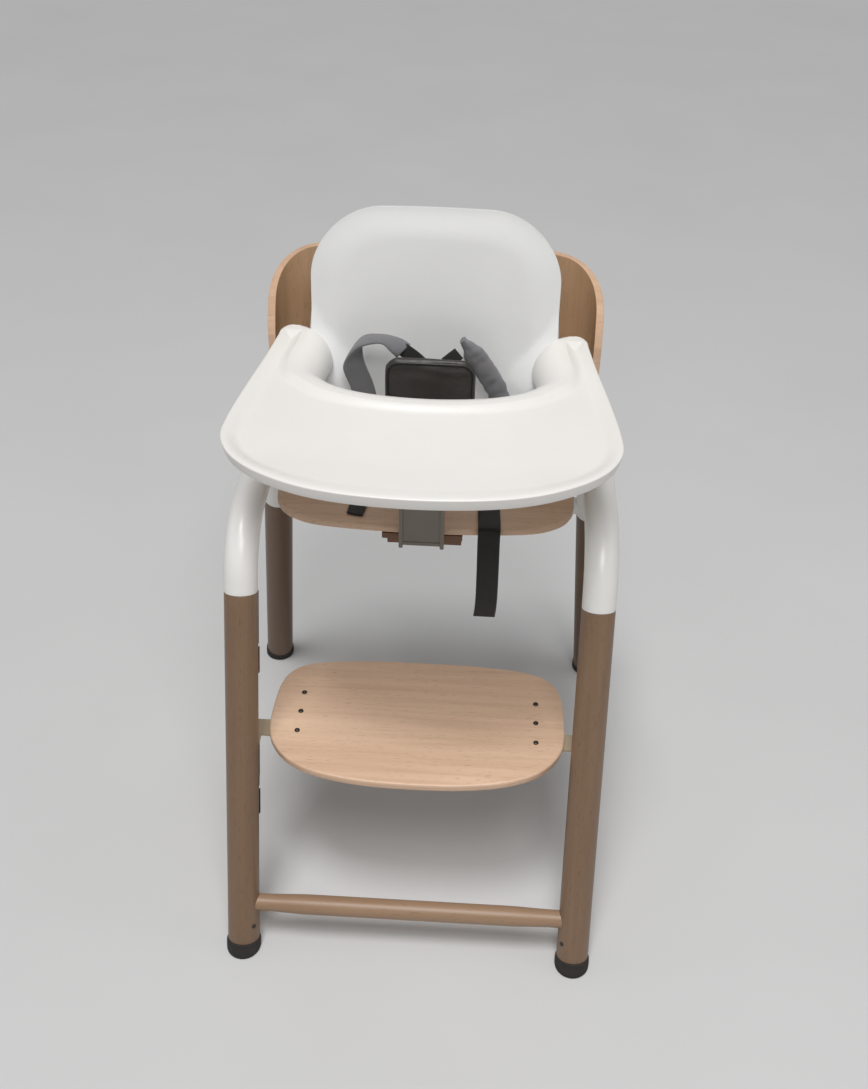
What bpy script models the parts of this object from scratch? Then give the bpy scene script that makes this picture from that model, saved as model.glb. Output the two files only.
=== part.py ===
"""Baby high chair with leaning wooden legs under painted side arches.

The seat and the footrest slide on rails behind the front legs. A curved plywood back, a moulded
baby shell and a harness ride on the seat, and a tray plugs into a dock under its front edge.
Metres, +Z up. The front faces -Y, and left is -X.
"""

import math

import bmesh
import bpy
from mathutils import Matrix, Vector

# Clearances
GAP = 0.0003  # between pieces that touch
SLIDE_GAP = 0.0003  # between a slider and its rail
PIN_GAP = 0.0002  # round a pin

# Legs, arches and cross bars
LEG_SPACING = 0.400
LEG_RADIUS = 0.019
FRONT_FOOT_Y = -0.271
REAR_FOOT_Y = 0.271
REAR_FOOT_X = LEG_SPACING / 2 + 0.036
FRONT_LEAN = 0.3457  # run back per metre of height
REAR_LEAN = 0.193  # run forward per metre of height
REAR_SPLAY = 0.0726  # run inward per metre of height
FRONT_JOINT_Z = 0.435
REAR_JOINT_Z = 0.335
ARCH_Z = 0.503
ARCH_FRONT_BEND = 0.080
ARCH_REAR_BEND = 0.060
LEG_END = 0.0085  # from the floor point to a leg's end, along the leg
STRETCHER_Z = 0.0585
STRETCHER_RADIUS = 0.012
STRETCHER_END_RADIUS = 0.0105
TENON_DEPTH = 0.010
CROSSBAR_Z = 0.3465
CROSSBAR_RADIUS = 0.0115
SCREW_DOT_RADIUS = 0.0028
SCREW_DOT_DROP = 0.025
SCREW_DOT_TURN = math.radians(50.0)

# Foot caps
CAP_RADIUS = LEG_RADIUS + 0.0017
CAP_TOP = 0.0130
CAP_LIP = 0.0035

# Rails behind the front legs, in the leg's own frame
RAIL_LOW_Z = 0.135
RAIL_TOP_MARGIN = 0.010
RAIL_HEAD = 0.013
RAIL_STEM = 0.007
RAIL_FOOT_DEPTH = 0.0035
RAIL_STEM_HEIGHT = 0.004
RAIL_HEAD_HEIGHT = 0.003

# Sliders and their release levers
SLIDER_WIDTH = 0.027
SLIDER_DEPTH = 0.0183
EAR_THICKNESS = 0.003
EAR_LENGTH = 0.012
PIN_DROP = 0.006
PIN_RADIUS = 0.0015
KNUCKLE_RADIUS = 0.0048
BLADE_WIDTH = 0.030
BLADE_LENGTH = 0.032
BLADE_THICKNESS = 0.004
SEAT_SLIDER_Z = (0.374, 0.424)
FOOTREST_SLIDER_Z = (0.200, 0.238)

# Seat plate and what carries it
SEAT_TOP_Z = 0.505
SEAT_THICKNESS = 0.010
SEAT_FRONT_Y = -0.0795
SEAT_BACK_Y = 0.135
SEAT_HALF_WIDTH = 0.170
SEAT_EDGE = 0.003
PAN_THICKNESS = 0.003
PAN_HALF_WIDTH = 0.140
PAN_FRONT_Y = -0.024
ARM_RADIUS = 0.005
ARM_RUN_Z = 0.466
ARM_BACK_Y = 0.062
ARM_INNER_X = 0.120
POST_TOP_Z = 0.670

# Plywood back
BACK_HALF_WIDTH = 0.1955
BACK_Y = 0.175
BACK_PLY = 0.009
BACK_CORNER = 0.045
BACK_WING_Y = 0.118
BACK_LOW_Z = 0.545
BACK_TOP_Z = 0.726
BACK_TOP_ROUND = 0.120
BACK_LOW_ROUND = 0.035

# Baby shell
SHELL_WALL = 0.004
SHELL_HALF_WIDTH = 0.143
SHELL_TOP_Z = 0.790
SHELL_TOP_ROUND = 0.075
SHELL_PAN_Y = -0.010
SHELL_BEND = 0.050
SHELL_BACK_LOW_Y = 0.104
SHELL_LEAN = 0.100
SHELL_WING = 0.072

# Tray
TRAY_RIM_Z = 0.648
TRAY_THICKNESS = 0.015
TRAY_RECESS = 0.006
TRAY_RIM_WIDTH = 0.006
TRAY_EDGE = 0.003
SKIRT_DROP = 0.036
SKIRT_INSET = 0.030
SKIRT_WALL = 0.003
POST_HALF_WIDTH = 0.0245
POST_Y = -0.0895
POST_THICKNESS = 0.004
POST_RIB_DEPTH = 0.006
POST_FOOT = 0.0007  # how far the post's ribs reach below its tongue
TONGUE_HALF_WIDTH = 0.017
TONGUE_THICKNESS = 0.004
TONGUE_LENGTH = 0.030
DOCK_HALF_WIDTH = 0.045
DOCK_HEIGHT = 0.014
DOCK_LENGTH = 0.045
DOCK_STEP = 0.006
TRAY_LEVER_Y = -0.145

# Footrest
FOOTREST_TOP_Z = 0.240
FOOTREST_THICKNESS = 0.010
FOOTREST_HALF_WIDTH = 0.177
FOOTREST_FRONT_Y = -0.2165
FOOTREST_BACK_Y = -0.0065
FOOTREST_SCREW_X = 0.1425
FOOTREST_SCREW_PITCH = 0.033
FOOTREST_SCREW_Y = -0.106
BRACKET_THICKNESS = 0.003
BRACKET_INNER_X = 0.120
BRACKET_LEAF_X = 0.160
BRACKET_TAB_WIDTH = 0.026
BRACKET_TAB_FORWARD = 0.019
FLUSH = 0.0003  # keeps two joined faces from lying in one plane
SCREW_HEAD_RADIUS = 0.0032
SCREW_HEAD_HEIGHT = 0.0018
SCREW_RADIUS = 0.0018

# Harness
WEBBING_WIDTH = 0.025
WEBBING_THICKNESS = 0.0016
PAD_THICKNESS = 0.006
CROTCH_PAD_WIDTH = 0.106
CROTCH_PAD_THICKNESS = 0.014
CROTCH_PAD_TOP_Z = 0.650
CROTCH_PAD_LOW_Z = 0.545
CROTCH_PAD_Y = 0.042
BUCKLE_WIDTH = 0.044
BUCKLE_HEIGHT = 0.030
BUCKLE_DEPTH = 0.010
BUTTON_RADIUS = 0.008

FRONT_TILT = math.atan(FRONT_LEAN)
SIDES = (("left", -1), ("right", 1))

BEECH = ("beech", (0.72, 0.52, 0.36), 0.55, 0.0)
WHITE_PAINT = ("white_paint", (0.84, 0.83, 0.80), 0.35, 0.0)
WHITE_PLASTIC = ("white_plastic", (0.86, 0.86, 0.85), 0.40, 0.0)
WARM_PLASTIC = ("warm_plastic", (0.82, 0.80, 0.76), 0.40, 0.0)
GREY_PLASTIC = ("grey_plastic", (0.36, 0.35, 0.32), 0.50, 0.0)
BROWN_PLASTIC = ("brown_plastic", (0.30, 0.17, 0.10), 0.50, 0.0)
BLACK_PLASTIC = ("black_plastic", (0.03, 0.03, 0.03), 0.45, 0.0)
RUBBER = ("rubber", (0.03, 0.025, 0.022), 0.80, 0.0)
STEEL = ("steel", (0.45, 0.44, 0.42), 0.35, 1.0)
DARK_STEEL = ("dark_steel", (0.10, 0.09, 0.08), 0.45, 1.0)
GREY_FABRIC = ("grey_fabric", (0.20, 0.20, 0.21), 0.90, 0.0)
DARK_LEATHER = ("dark_leather", (0.05, 0.045, 0.04), 0.50, 0.0)
BLACK_WEBBING = ("black_webbing", (0.035, 0.032, 0.03), 0.85, 0.0)


# Scene and shape helpers


def clear_scene():
    for old in list(bpy.data.objects):
        bpy.data.objects.remove(old, do_unlink=True)


def add_collection(name, hidden):
    collection = bpy.data.collections.new(name)
    bpy.context.scene.collection.children.link(collection)
    collection.hide_render = hidden
    return collection


clear_scene()
PARTS = add_collection("baby_high_chair", False)
CUTTERS = add_collection("cutters", True)


def finish(obj, look):
    """Give a part its own material and smooth its round faces."""
    name, colour, roughness, metallic = look
    material = bpy.data.materials.new(f"{obj.name}_{name}")
    material.use_nodes = True
    shader = material.node_tree.nodes["Principled BSDF"]
    shader.inputs["Base Color"].default_value = (*colour, 1.0)
    shader.inputs["Roughness"].default_value = roughness
    shader.inputs["Metallic"].default_value = metallic
    obj.data.materials.clear()
    obj.data.materials.append(material)
    if obj.type == "MESH":
        obj.data.shade_smooth()
        obj.data.set_sharp_from_angle(angle=math.radians(35.0))
    return obj


def mesh_object(name, bm, collection=PARTS):
    bmesh.ops.recalc_face_normals(bm, faces=bm.faces)
    mesh = bpy.data.meshes.new(name)
    bm.to_mesh(mesh)
    bm.free()
    obj = bpy.data.objects.new(name, mesh)
    collection.objects.link(obj)
    if collection is CUTTERS:
        obj.hide_render = True
        obj.display_type = "WIRE"
    return obj


def box(name, low, high, frame=Matrix.Identity(4), collection=PARTS):
    """A box between two corners given in a frame."""
    low, high = Vector(low), Vector(high)
    bm = bmesh.new()
    bmesh.ops.create_cube(bm, size=1.0)
    bmesh.ops.scale(bm, vec=high - low, verts=bm.verts)
    bmesh.ops.translate(bm, vec=(low + high) / 2, verts=bm.verts)
    obj = mesh_object(name, bm, collection)
    obj.matrix_world = frame
    return obj


def cylinder(name, start, end, radius, end_radius=None, segments=32, collection=PARTS):
    """A round bar from start to end."""
    start, end = Vector(start), Vector(end)
    axis = end - start
    bm = bmesh.new()
    bmesh.ops.create_cone(
        bm,
        cap_ends=True,
        segments=segments,
        radius1=radius,
        radius2=radius if end_radius is None else end_radius,
        depth=axis.length,
    )
    obj = mesh_object(name, bm, collection)
    turn = Vector((0, 0, 1)).rotation_difference(axis.normalized())
    obj.matrix_world = Matrix.Translation((start + end) / 2) @ turn.to_matrix().to_4x4()
    return obj


def turned(name, profile, frame, steps, collection=PARTS):
    """A profile of (radius, height) turned about the frame's Z axis."""
    bm = bmesh.new()
    points = [bm.verts.new((radius, 0.0, height)) for radius, height in profile]
    for first, second in zip(points, points[1:]):
        bm.edges.new((first, second))
    obj = mesh_object(name, bm, collection)
    obj.matrix_world = frame
    screw = obj.modifiers.new("turn", "SCREW")
    screw.steps = steps
    screw.render_steps = steps
    screw.use_merge_vertices = True
    screw.merge_threshold = 0.00005
    return obj


def tube(name, points, radius, sides_step):
    """A round tube along a line of points."""
    curve = bpy.data.curves.new(name, "CURVE")
    curve.dimensions = "3D"
    spline = curve.splines.new("POLY")
    spline.points.add(len(points) - 1)
    for slot, point in zip(spline.points, points):
        slot.co = (*point, 1.0)
    curve.bevel_depth = radius
    curve.bevel_resolution = sides_step
    curve.use_fill_caps = True
    obj = bpy.data.objects.new(name, curve)
    PARTS.objects.link(obj)
    return obj


def plate(name, loop, low_z, high_z, edge=0.0, collection=PARTS):
    """A flat plate of a closed outline, with rounded edges."""
    curve = bpy.data.curves.new(name, "CURVE")
    curve.dimensions = "2D"
    curve.fill_mode = "BOTH"
    spline = curve.splines.new("POLY")
    spline.points.add(len(loop) - 1)
    for slot, (x, y) in zip(spline.points, loop):
        slot.co = (x, y, 0.0, 1.0)
    spline.use_cyclic_u = True
    curve.bevel_depth = edge
    curve.bevel_resolution = 1
    curve.offset = -edge
    curve.extrude = (high_z - low_z) / 2 - edge
    obj = bpy.data.objects.new(name, curve)
    obj.location = (0.0, 0.0, (low_z + high_z) / 2)
    collection.objects.link(obj)
    return as_mesh(obj, collection)


def as_mesh(obj, collection=PARTS):
    """Turn a curve object into a mesh object of the same name."""
    bpy.context.view_layer.update()
    graph = bpy.context.evaluated_depsgraph_get()
    mesh = bpy.data.meshes.new_from_object(obj.evaluated_get(graph))
    matrix = obj.matrix_world.copy()
    name = obj.name
    bpy.data.objects.remove(obj, do_unlink=True)
    bm = bmesh.new()
    bm.from_mesh(mesh)
    bmesh.ops.remove_doubles(bm, verts=bm.verts, dist=0.00001)
    made = mesh_object(name, bm, collection)
    made.matrix_world = matrix
    return made


def boolean(obj, other, operation, solver="EXACT"):
    if other.name not in CUTTERS.objects:
        CUTTERS.objects.link(other)
        PARTS.objects.unlink(other)
    other.hide_render = True
    other.display_type = "WIRE"
    modifier = obj.modifiers.new(other.name, "BOOLEAN")
    modifier.operation = operation
    modifier.solver = solver
    modifier.object = other
    return obj


def cut(obj, *others):
    for other in others:
        boolean(obj, other, "DIFFERENCE")
    return obj


def join(obj, *others):
    for other in others:
        boolean(obj, other, "UNION")
    return obj


# Outline and path helpers


def fillet(corners, radii, steps):
    """A line through corners, each inner one rounded to its radius."""
    points = [Vector(corners[0])]
    for before, corner, after, radius in zip(corners, corners[1:], corners[2:], radii):
        corner = Vector(corner)
        back = (Vector(before) - corner).normalized()
        ahead = (Vector(after) - corner).normalized()
        half = back.angle(ahead) / 2
        centre = corner + (back + ahead).normalized() * radius / math.sin(half)
        first = (corner + back * radius / math.tan(half) - centre).normalized()
        last = (corner + ahead * radius / math.tan(half) - centre).normalized()
        for step in range(steps + 1):
            points.append(centre + first.slerp(last, step / steps) * radius)
    points.append(Vector(corners[-1]))
    return points


def smooth(points, per, closed=False):
    """A Catmull-Rom line through the points, with `per` steps to each stretch."""
    points = [Vector(point) for point in points]
    count = len(points)
    line = []
    for index in range(count if closed else count - 1):
        if closed:
            around = [points[(index + shift) % count] for shift in (-1, 0, 1, 2)]
        else:
            around = [points[min(max(index + shift, 0), count - 1)] for shift in (-1, 0, 1, 2)]
        a, b, c, d = around
        for step in range(per):
            t = step / per
            line.append(
                b
                + (c - a) * 0.5 * t
                + (a * 2 - b * 5 + c * 4 - d) * 0.5 * t * t
                + (b * 3 - a - c * 3 + d) * 0.5 * t * t * t
            )
    if not closed:
        line.append(points[-1])
    return line


def mirrored_loop(half, per):
    """A smooth closed outline from its right half, listed from front middle to back middle."""
    left = [(-x, y) for x, y in reversed(half[1:-1])]
    return [(point.x, point.y) for point in smooth(list(half) + left, per, closed=True)]


def inset(loop, distance):
    """The loop moved inward, for a loop that runs anticlockwise."""
    moved = []
    for before, here, after in zip(loop[-1:] + loop[:-1], loop, loop[1:] + loop[:1]):
        along = (Vector(after) - Vector(before)).normalized()
        moved.append((here[0] - along.y * distance, here[1] + along.x * distance))
    return moved


# Leg frames


def front_frame(side):
    """The frame of a front leg: X across, Y out of its back, Z up the leg from the floor."""
    foot = Matrix.Translation((side * LEG_SPACING / 2, FRONT_FOOT_Y, 0.0))
    return foot @ Matrix.Rotation(-FRONT_TILT, 4, "X")


def along_leg(z):
    """The distance up a front leg that reaches a height."""
    return z / math.cos(FRONT_TILT)


def front_point(side, z):
    return Vector((side * LEG_SPACING / 2, FRONT_FOOT_Y + FRONT_LEAN * z, z))


def rear_point(side, z):
    return Vector((side * (REAR_FOOT_X - REAR_SPLAY * z), REAR_FOOT_Y - REAR_LEAN * z, z))


def toward(start, end, distance):
    """A point at a distance from start, on the way to end."""
    return start + (end - start).normalized() * distance


# Frame parts

RAIL_BASE = LEG_RADIUS - RAIL_FOOT_DEPTH
RAIL_STEM_TOP = LEG_RADIUS + RAIL_STEM_HEIGHT
RAIL_TOP = RAIL_STEM_TOP + RAIL_HEAD_HEIGHT
SLIDER_BASE = LEG_RADIUS + 0.0007
RAIL_ENDS = (along_leg(RAIL_LOW_Z), along_leg(FRONT_JOINT_Z) - RAIL_TOP_MARGIN)


def rail(name, side):
    """A T-shaped rail let into the back of a front leg."""
    low, high = RAIL_ENDS
    frame = front_frame(side)
    foot = RAIL_HEAD / 2
    stem = RAIL_STEM / 2
    root = LEG_RADIUS - 0.001
    bar = box(name, (-foot, RAIL_BASE, low), (foot, root, high), frame)
    web = box(f"{name}_stem", (-stem, root - 0.001, low), (stem, RAIL_TOP - 0.001, high), frame)
    head = box(f"{name}_head", (-foot, RAIL_STEM_TOP, low), (foot, RAIL_TOP, high), frame)
    join(bar, web, head)
    finish(bar, STEEL)


def rail_groove(name, side):
    low, high = RAIL_ENDS
    half = RAIL_HEAD / 2 + GAP
    corner = (-half, RAIL_BASE - GAP, low - GAP)
    return box(name, corner, (half, LEG_RADIUS * 2, high + GAP), front_frame(side), CUTTERS)


def screw_dot_line(side):
    """The axis of the small screw that holds a stretcher end, from the leg's skin inward."""
    frame = front_frame(side)
    height = along_leg(STRETCHER_Z - SCREW_DOT_DROP)
    out = Vector((-side * math.sin(SCREW_DOT_TURN), -math.cos(SCREW_DOT_TURN), 0.0))
    skin = frame @ (out * (LEG_RADIUS + 0.0006) + Vector((0, 0, height)))
    inner = frame @ (out * (LEG_RADIUS - 0.009) + Vector((0, 0, height)))
    return skin, inner


def front_leg(name, side):
    foot = front_point(side, 0.0)
    top = front_point(side, FRONT_JOINT_Z)
    leg = cylinder(name, toward(foot, top, LEG_END), top, LEG_RADIUS)
    skin, inner = screw_dot_line(side)
    deep = toward(skin, inner, (inner - skin).length + GAP)
    middle = Vector((0.0, front_point(side, STRETCHER_Z).y, STRETCHER_Z))
    mouth = Vector((side * (LEG_SPACING / 2 - LEG_RADIUS + TENON_DEPTH + GAP), middle.y, middle.z))
    cut(
        leg,
        rail_groove(f"{name}_groove", side),
        cylinder(f"{name}_mortise", middle, mouth, STRETCHER_END_RADIUS + GAP, collection=CUTTERS),
        cylinder(
            f"{name}_screw_hole",
            toward(inner, skin, 0.02),
            deep,
            SCREW_DOT_RADIUS + GAP,
            segments=16,
            collection=CUTTERS,
        ),
    )
    finish(leg, BEECH)
    dot = cylinder(f"stretcher_screw_{name[10:]}", inner, skin, SCREW_DOT_RADIUS, segments=16)
    finish(dot, DARK_STEEL)


def rear_leg(name, side):
    foot = rear_point(side, 0.0)
    top = rear_point(side, REAR_JOINT_Z)
    leg = cylinder(name, toward(foot, top, LEG_END), top, LEG_RADIUS)
    finish(leg, BEECH)


def foot_cap(name, foot, top):
    """A rubber cup on a leg's end, cut level with the floor."""
    axis = (top - foot).normalized()
    turn = Vector((0, 0, 1)).rotation_difference(axis).to_matrix().to_4x4()
    pocket = LEG_RADIUS + GAP
    low = LEG_END - GAP
    under = -CAP_RADIUS
    profile = (
        (0.0, low),
        (pocket, low),
        (pocket, CAP_TOP),
        (pocket + 0.0008, CAP_TOP),
        (CAP_RADIUS - 0.0004, CAP_TOP - 0.0008),
        (CAP_RADIUS, CAP_TOP - 0.0020),
        (CAP_RADIUS, CAP_LIP),
        (CAP_RADIUS - 0.0006, under),
        (0.0, under),
    )
    cap = turned(name, profile, Matrix.Translation(foot) @ turn, 28)
    reach = CAP_RADIUS * 3
    corner = (foot.x - reach, foot.y - reach, -reach)
    cut(cap, box(f"{name}_floor", corner, (foot.x + reach, foot.y + reach, 0.0), collection=CUTTERS))
    finish(cap, RUBBER)


def side_arch(name, side):
    """A painted tube that carries on from the front leg, over, and down to the rear leg."""
    foot = front_point(side, 0.0)
    start = toward(front_point(side, FRONT_JOINT_Z), foot, -GAP)
    end = toward(rear_point(side, REAR_JOINT_Z), rear_point(side, 0.0), -GAP)
    corners = (start, front_point(side, ARCH_Z), rear_point(side, ARCH_Z), end)
    line = fillet(corners, (ARCH_FRONT_BEND, ARCH_REAR_BEND), 10)
    arch = as_mesh(tube(name, line, LEG_RADIUS, 6))
    middle = Vector((0.0, rear_point(side, CROSSBAR_Z).y, CROSSBAR_Z))
    mouth = rear_point(side, CROSSBAR_Z)
    hole = toward(mouth, middle, LEG_RADIUS - TENON_DEPTH - GAP)
    radius = CROSSBAR_RADIUS + GAP
    cut(arch, cylinder(f"{name}_socket", middle, hole, radius, collection=CUTTERS))
    finish(arch, WHITE_PAINT)


def front_stretcher():
    centre = front_point(1, STRETCHER_Z)
    half = LEG_SPACING / 2 - LEG_RADIUS + TENON_DEPTH
    straight = half - 0.075
    profile = (
        (0.0, half),
        (STRETCHER_END_RADIUS, half),
        (STRETCHER_END_RADIUS, half - TENON_DEPTH - 0.012),
        (STRETCHER_RADIUS, straight),
        (STRETCHER_RADIUS, -straight),
        (STRETCHER_END_RADIUS, TENON_DEPTH + 0.012 - half),
        (STRETCHER_END_RADIUS, -half),
        (0.0, -half),
    )
    frame = Matrix.Translation((0.0, centre.y, centre.z)) @ Matrix.Rotation(math.pi / 2, 4, "Y")
    finish(turned("front_stretcher", profile, frame, 32), BEECH)


def rear_crossbar():
    end = rear_point(1, CROSSBAR_Z)
    half = end.x - LEG_RADIUS + TENON_DEPTH
    bar = cylinder("rear_crossbar", (-half, end.y, end.z), (half, end.y, end.z), CROSSBAR_RADIUS)
    finish(bar, WHITE_PAINT)


# Release levers: a frame has X along the pin, Y away from what the lever hangs on, -Z down the lever


def lever_ears(name, frame, base, depth):
    """Two ears that carry a lever's pin, for joining to the lever's block."""
    half = SLIDER_WIDTH / 2
    ears = []
    for word, side in SIDES:
        inner = side * (half - EAR_THICKNESS)
        low = (min(inner, side * half), base, -EAR_LENGTH)
        high = (max(inner, side * half), base + depth, 0.002)
        ears.append(box(f"{name}_ear_{word}", low, high, frame, CUTTERS))
    return ears


def pin_hole(name, frame, pin_y, half, gap):
    start = frame @ Vector((-half, pin_y, -PIN_DROP))
    end = frame @ Vector((half, pin_y, -PIN_DROP))
    return cylinder(name, start, end, PIN_RADIUS + gap, segments=16, collection=CUTTERS)


def release_lever(name, frame, pin_y):
    """A lever with a round knuckle and a wide blade, and the pin it turns on."""
    pivot = frame @ Matrix.Translation((0.0, pin_y, -PIN_DROP))
    reach = SLIDER_WIDTH / 2 - EAR_THICKNESS - GAP
    start = pivot @ Vector((-reach, 0.0, 0.0))
    end = pivot @ Vector((reach, 0.0, 0.0))
    knuckle = cylinder(f"{name}_knuckle", start, end, KNUCKLE_RADIUS, segments=20)
    thick = BLADE_THICKNESS / 2
    neck = box(f"{name}_neck", (-reach, -thick, -0.012), (reach, thick, 0.0), pivot, CUTTERS)
    top = -0.009
    blade = box(
        name,
        (-BLADE_WIDTH / 2, -thick, top - BLADE_LENGTH),
        (BLADE_WIDTH / 2, thick, top),
        pivot,
    )
    join(blade, neck, knuckle)
    cut(blade, pin_hole(f"{name}_bore", frame, pin_y, SLIDER_WIDTH, PIN_GAP))
    finish(blade, BLACK_PLASTIC)
    half = SLIDER_WIDTH / 2
    pin = cylinder(
        f"{name}_pin",
        frame @ Vector((-half, pin_y, -PIN_DROP)),
        frame @ Vector((half, pin_y, -PIN_DROP)),
        PIN_RADIUS,
        segments=16,
    )
    finish(pin, STEEL)


def slider(name, side, low_z, high_z):
    """A block that wraps a rail's head, with a release lever hung below it."""
    frame = front_frame(side)
    low, high = along_leg(low_z), along_leg(high_z)
    base = SLIDER_BASE
    half = SLIDER_WIDTH / 2
    corner = (half, base + SLIDER_DEPTH, high)
    block = box(f"{name}_slider_{side_word(side)}", (-half, base, low), corner, frame)
    stem = RAIL_STEM / 2 + SLIDE_GAP
    head = RAIL_HEAD / 2 + SLIDE_GAP
    floor = RAIL_STEM_TOP - SLIDE_GAP
    roof = RAIL_TOP + SLIDE_GAP
    ends = (low - 0.02, high + 0.02)
    slot = box(f"{block.name}_slot", (-stem, 0.0, ends[0]), (stem, floor + 0.001, ends[1]), frame, CUTTERS)
    track = box(f"{block.name}_track", (-head, floor, ends[0]), (head, roof, ends[1]), frame, CUTTERS)
    lever_frame = frame @ Matrix.Translation((0.0, 0.0, low))
    ear_base = RAIL_TOP + 0.0012
    depth = base + SLIDER_DEPTH - ear_base
    pin_y = ear_base + depth / 2
    join(block, *lever_ears(block.name, lever_frame, ear_base, depth))
    cut(block, slot, track, pin_hole(f"{block.name}_pin_hole", lever_frame, pin_y, SLIDER_WIDTH, PIN_GAP))
    finish(block, GREY_PLASTIC)
    release_lever(f"{name}_lever_{side_word(side)}", lever_frame, pin_y)


def side_word(side):
    return "left" if side < 0 else "right"


# Seat


def seat_outline(half, front, back):
    """Right half of a plate with a bowed front and round corners, front middle first."""
    return (
        (0.0, front),
        (half * 0.62, front + 0.0055),
        (half * 0.86, front + 0.018),
        (half * 0.975, front + 0.040),
        (half, front + 0.072),
        (half, back - 0.060),
        (half * 0.93, back - 0.020),
        (half * 0.80, back - 0.004),
        (0.0, back),
    )


def seat_plate():
    half = seat_outline(SEAT_HALF_WIDTH, SEAT_FRONT_Y, SEAT_BACK_Y)
    loop = mirrored_loop(half, 5)
    low = SEAT_TOP_Z - SEAT_THICKNESS
    finish(plate("seat_plate", loop, low, SEAT_TOP_Z, SEAT_EDGE), BEECH)


def seat_pan():
    """The metal plate under the seat, between it and the arms."""
    high = SEAT_TOP_Z - SEAT_THICKNESS - GAP
    low = high - PAN_THICKNESS
    pan = box(
        "seat_pan",
        (-PAN_HALF_WIDTH, PAN_FRONT_Y, low),
        (PAN_HALF_WIDTH, SEAT_BACK_Y - 0.012, high),
    )
    finish(pan, WHITE_PAINT)
    return low


def seat_arm(name, side, pan_low):
    """A bent tube from the slider, back under the arch, in under the seat and up behind the back."""
    frame = front_frame(side)
    high = along_leg(SEAT_SLIDER_Z[1])
    start = frame @ Vector((0.0, RAIL_TOP + ARM_RADIUS + 0.0012, high + GAP))
    under_z = pan_low - GAP - ARM_RADIUS
    post_y = BACK_Y + GAP + ARM_RADIUS
    side_x = side * LEG_SPACING / 2
    corners = (
        start,
        (side_x, start.y + (ARM_RUN_Z - start.z) * FRONT_LEAN, ARM_RUN_Z),
        (side_x, ARM_BACK_Y, ARM_RUN_Z),
        (side * ARM_INNER_X, ARM_BACK_Y + 0.040, under_z),
        (side * ARM_INNER_X, post_y, under_z),
        (side * ARM_INNER_X, post_y, POST_TOP_Z),
    )
    line = fillet(corners, (0.020, 0.016, 0.016, 0.016), 5)
    finish(tube(name, line, ARM_RADIUS, 4), WHITE_PAINT)


def back_path():
    """Plan of the plywood's outer face, from the left wing tip round to the right one."""
    half = BACK_HALF_WIDTH
    corners = (
        (-half, BACK_WING_Y, 0.0),
        (-half, BACK_Y, 0.0),
        (half, BACK_Y, 0.0),
        (half, BACK_WING_Y, 0.0),
    )
    return fillet(corners, (BACK_CORNER, BACK_CORNER), 8)


def dense(line, step):
    """The line with extra points, so that no stretch is longer than step."""
    points = [line[0]]
    for start, end in zip(line, line[1:]):
        count = max(1, math.ceil((end - start).length / step))
        points += [start.lerp(end, index / count) for index in range(1, count + 1)]
    return points


def rounded_end(distance, radius):
    """How far an edge drops at a distance from its end, for a round corner."""
    if distance >= radius:
        return 0.0
    return radius - math.sqrt(max(0.0, radius * radius - (radius - distance) ** 2))


def wood_back():
    """Bent plywood: a strip of the plan line between a low and a high edge, made thick."""
    line = dense(back_path(), 0.012)
    lengths = [0.0]
    for start, end in zip(line, line[1:]):
        lengths.append(lengths[-1] + (end - start).length)
    total = lengths[-1]
    bm = bmesh.new()
    columns = []
    for point, length in zip(line, lengths):
        end = min(length, total - length)
        high = BACK_TOP_Z - rounded_end(end + 0.003, BACK_TOP_ROUND)
        low = BACK_LOW_Z + rounded_end(end + 0.003, BACK_LOW_ROUND)
        count = 6
        column = [
            bm.verts.new((point.x, point.y, low + (high - low) * index / count))
            for index in range(count + 1)
        ]
        columns.append(column)
    for first, second in zip(columns, columns[1:]):
        for index in range(len(first) - 1):
            bm.faces.new((first[index], second[index], second[index + 1], first[index + 1]))
    back = mesh_object("wood_back", bm)
    solid = back.modifiers.new("ply", "SOLIDIFY")
    solid.thickness = BACK_PLY
    solid.offset = -1.0 if faces_out(back, 1) else 1.0
    solid.use_even_offset = True
    finish(back, BEECH)


def faces_out(obj, sign):
    """Whether the middle of an open surface faces +Y times sign."""
    middle = min(obj.data.polygons, key=lambda face: abs(face.center.x))
    return middle.normal.y * sign > 0


# Baby shell


def shell_stations():
    """The shell's middle line, front of the pan to the top: y, z, half width, wing reach."""
    pan_z = SEAT_TOP_Z + GAP + SHELL_WALL
    low_y = SHELL_BACK_LOW_Y
    stations = []
    for step in range(4):
        share = step / 4
        y = SHELL_PAN_Y + (low_y - SHELL_BEND - SHELL_PAN_Y) * share
        half = SHELL_HALF_WIDTH - 0.014 * (1 - share) ** 2
        wing = SHELL_WING * math.sin(math.pi / 2 * (0.30 + 0.70 * share))
        stations.append((y, pan_z, half, wing))
    for step in range(6):
        angle = math.pi / 2 * step / 5
        y = low_y - SHELL_BEND + SHELL_BEND * math.sin(angle)
        z = pan_z + SHELL_BEND - SHELL_BEND * math.cos(angle)
        stations.append((y, z, SHELL_HALF_WIDTH, SHELL_WING * (1.0 - 0.55 * step / 5)))
    base = pan_z + SHELL_BEND
    height = SHELL_TOP_Z - base
    count = 14
    for step in range(1, count + 1):
        share = math.sin(math.pi / 2 * step / count)
        z = base + height * share
        drop = rounded_end(SHELL_TOP_Z - z, SHELL_TOP_ROUND)
        wing = SHELL_WING * 0.45 * max(0.0, 1 - share * 3.0) ** 2 + 0.006 * (1 - share**3)
        stations.append((low_y + SHELL_LEAN * (z - base), z, SHELL_HALF_WIDTH - drop, wing))
    return stations


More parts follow.
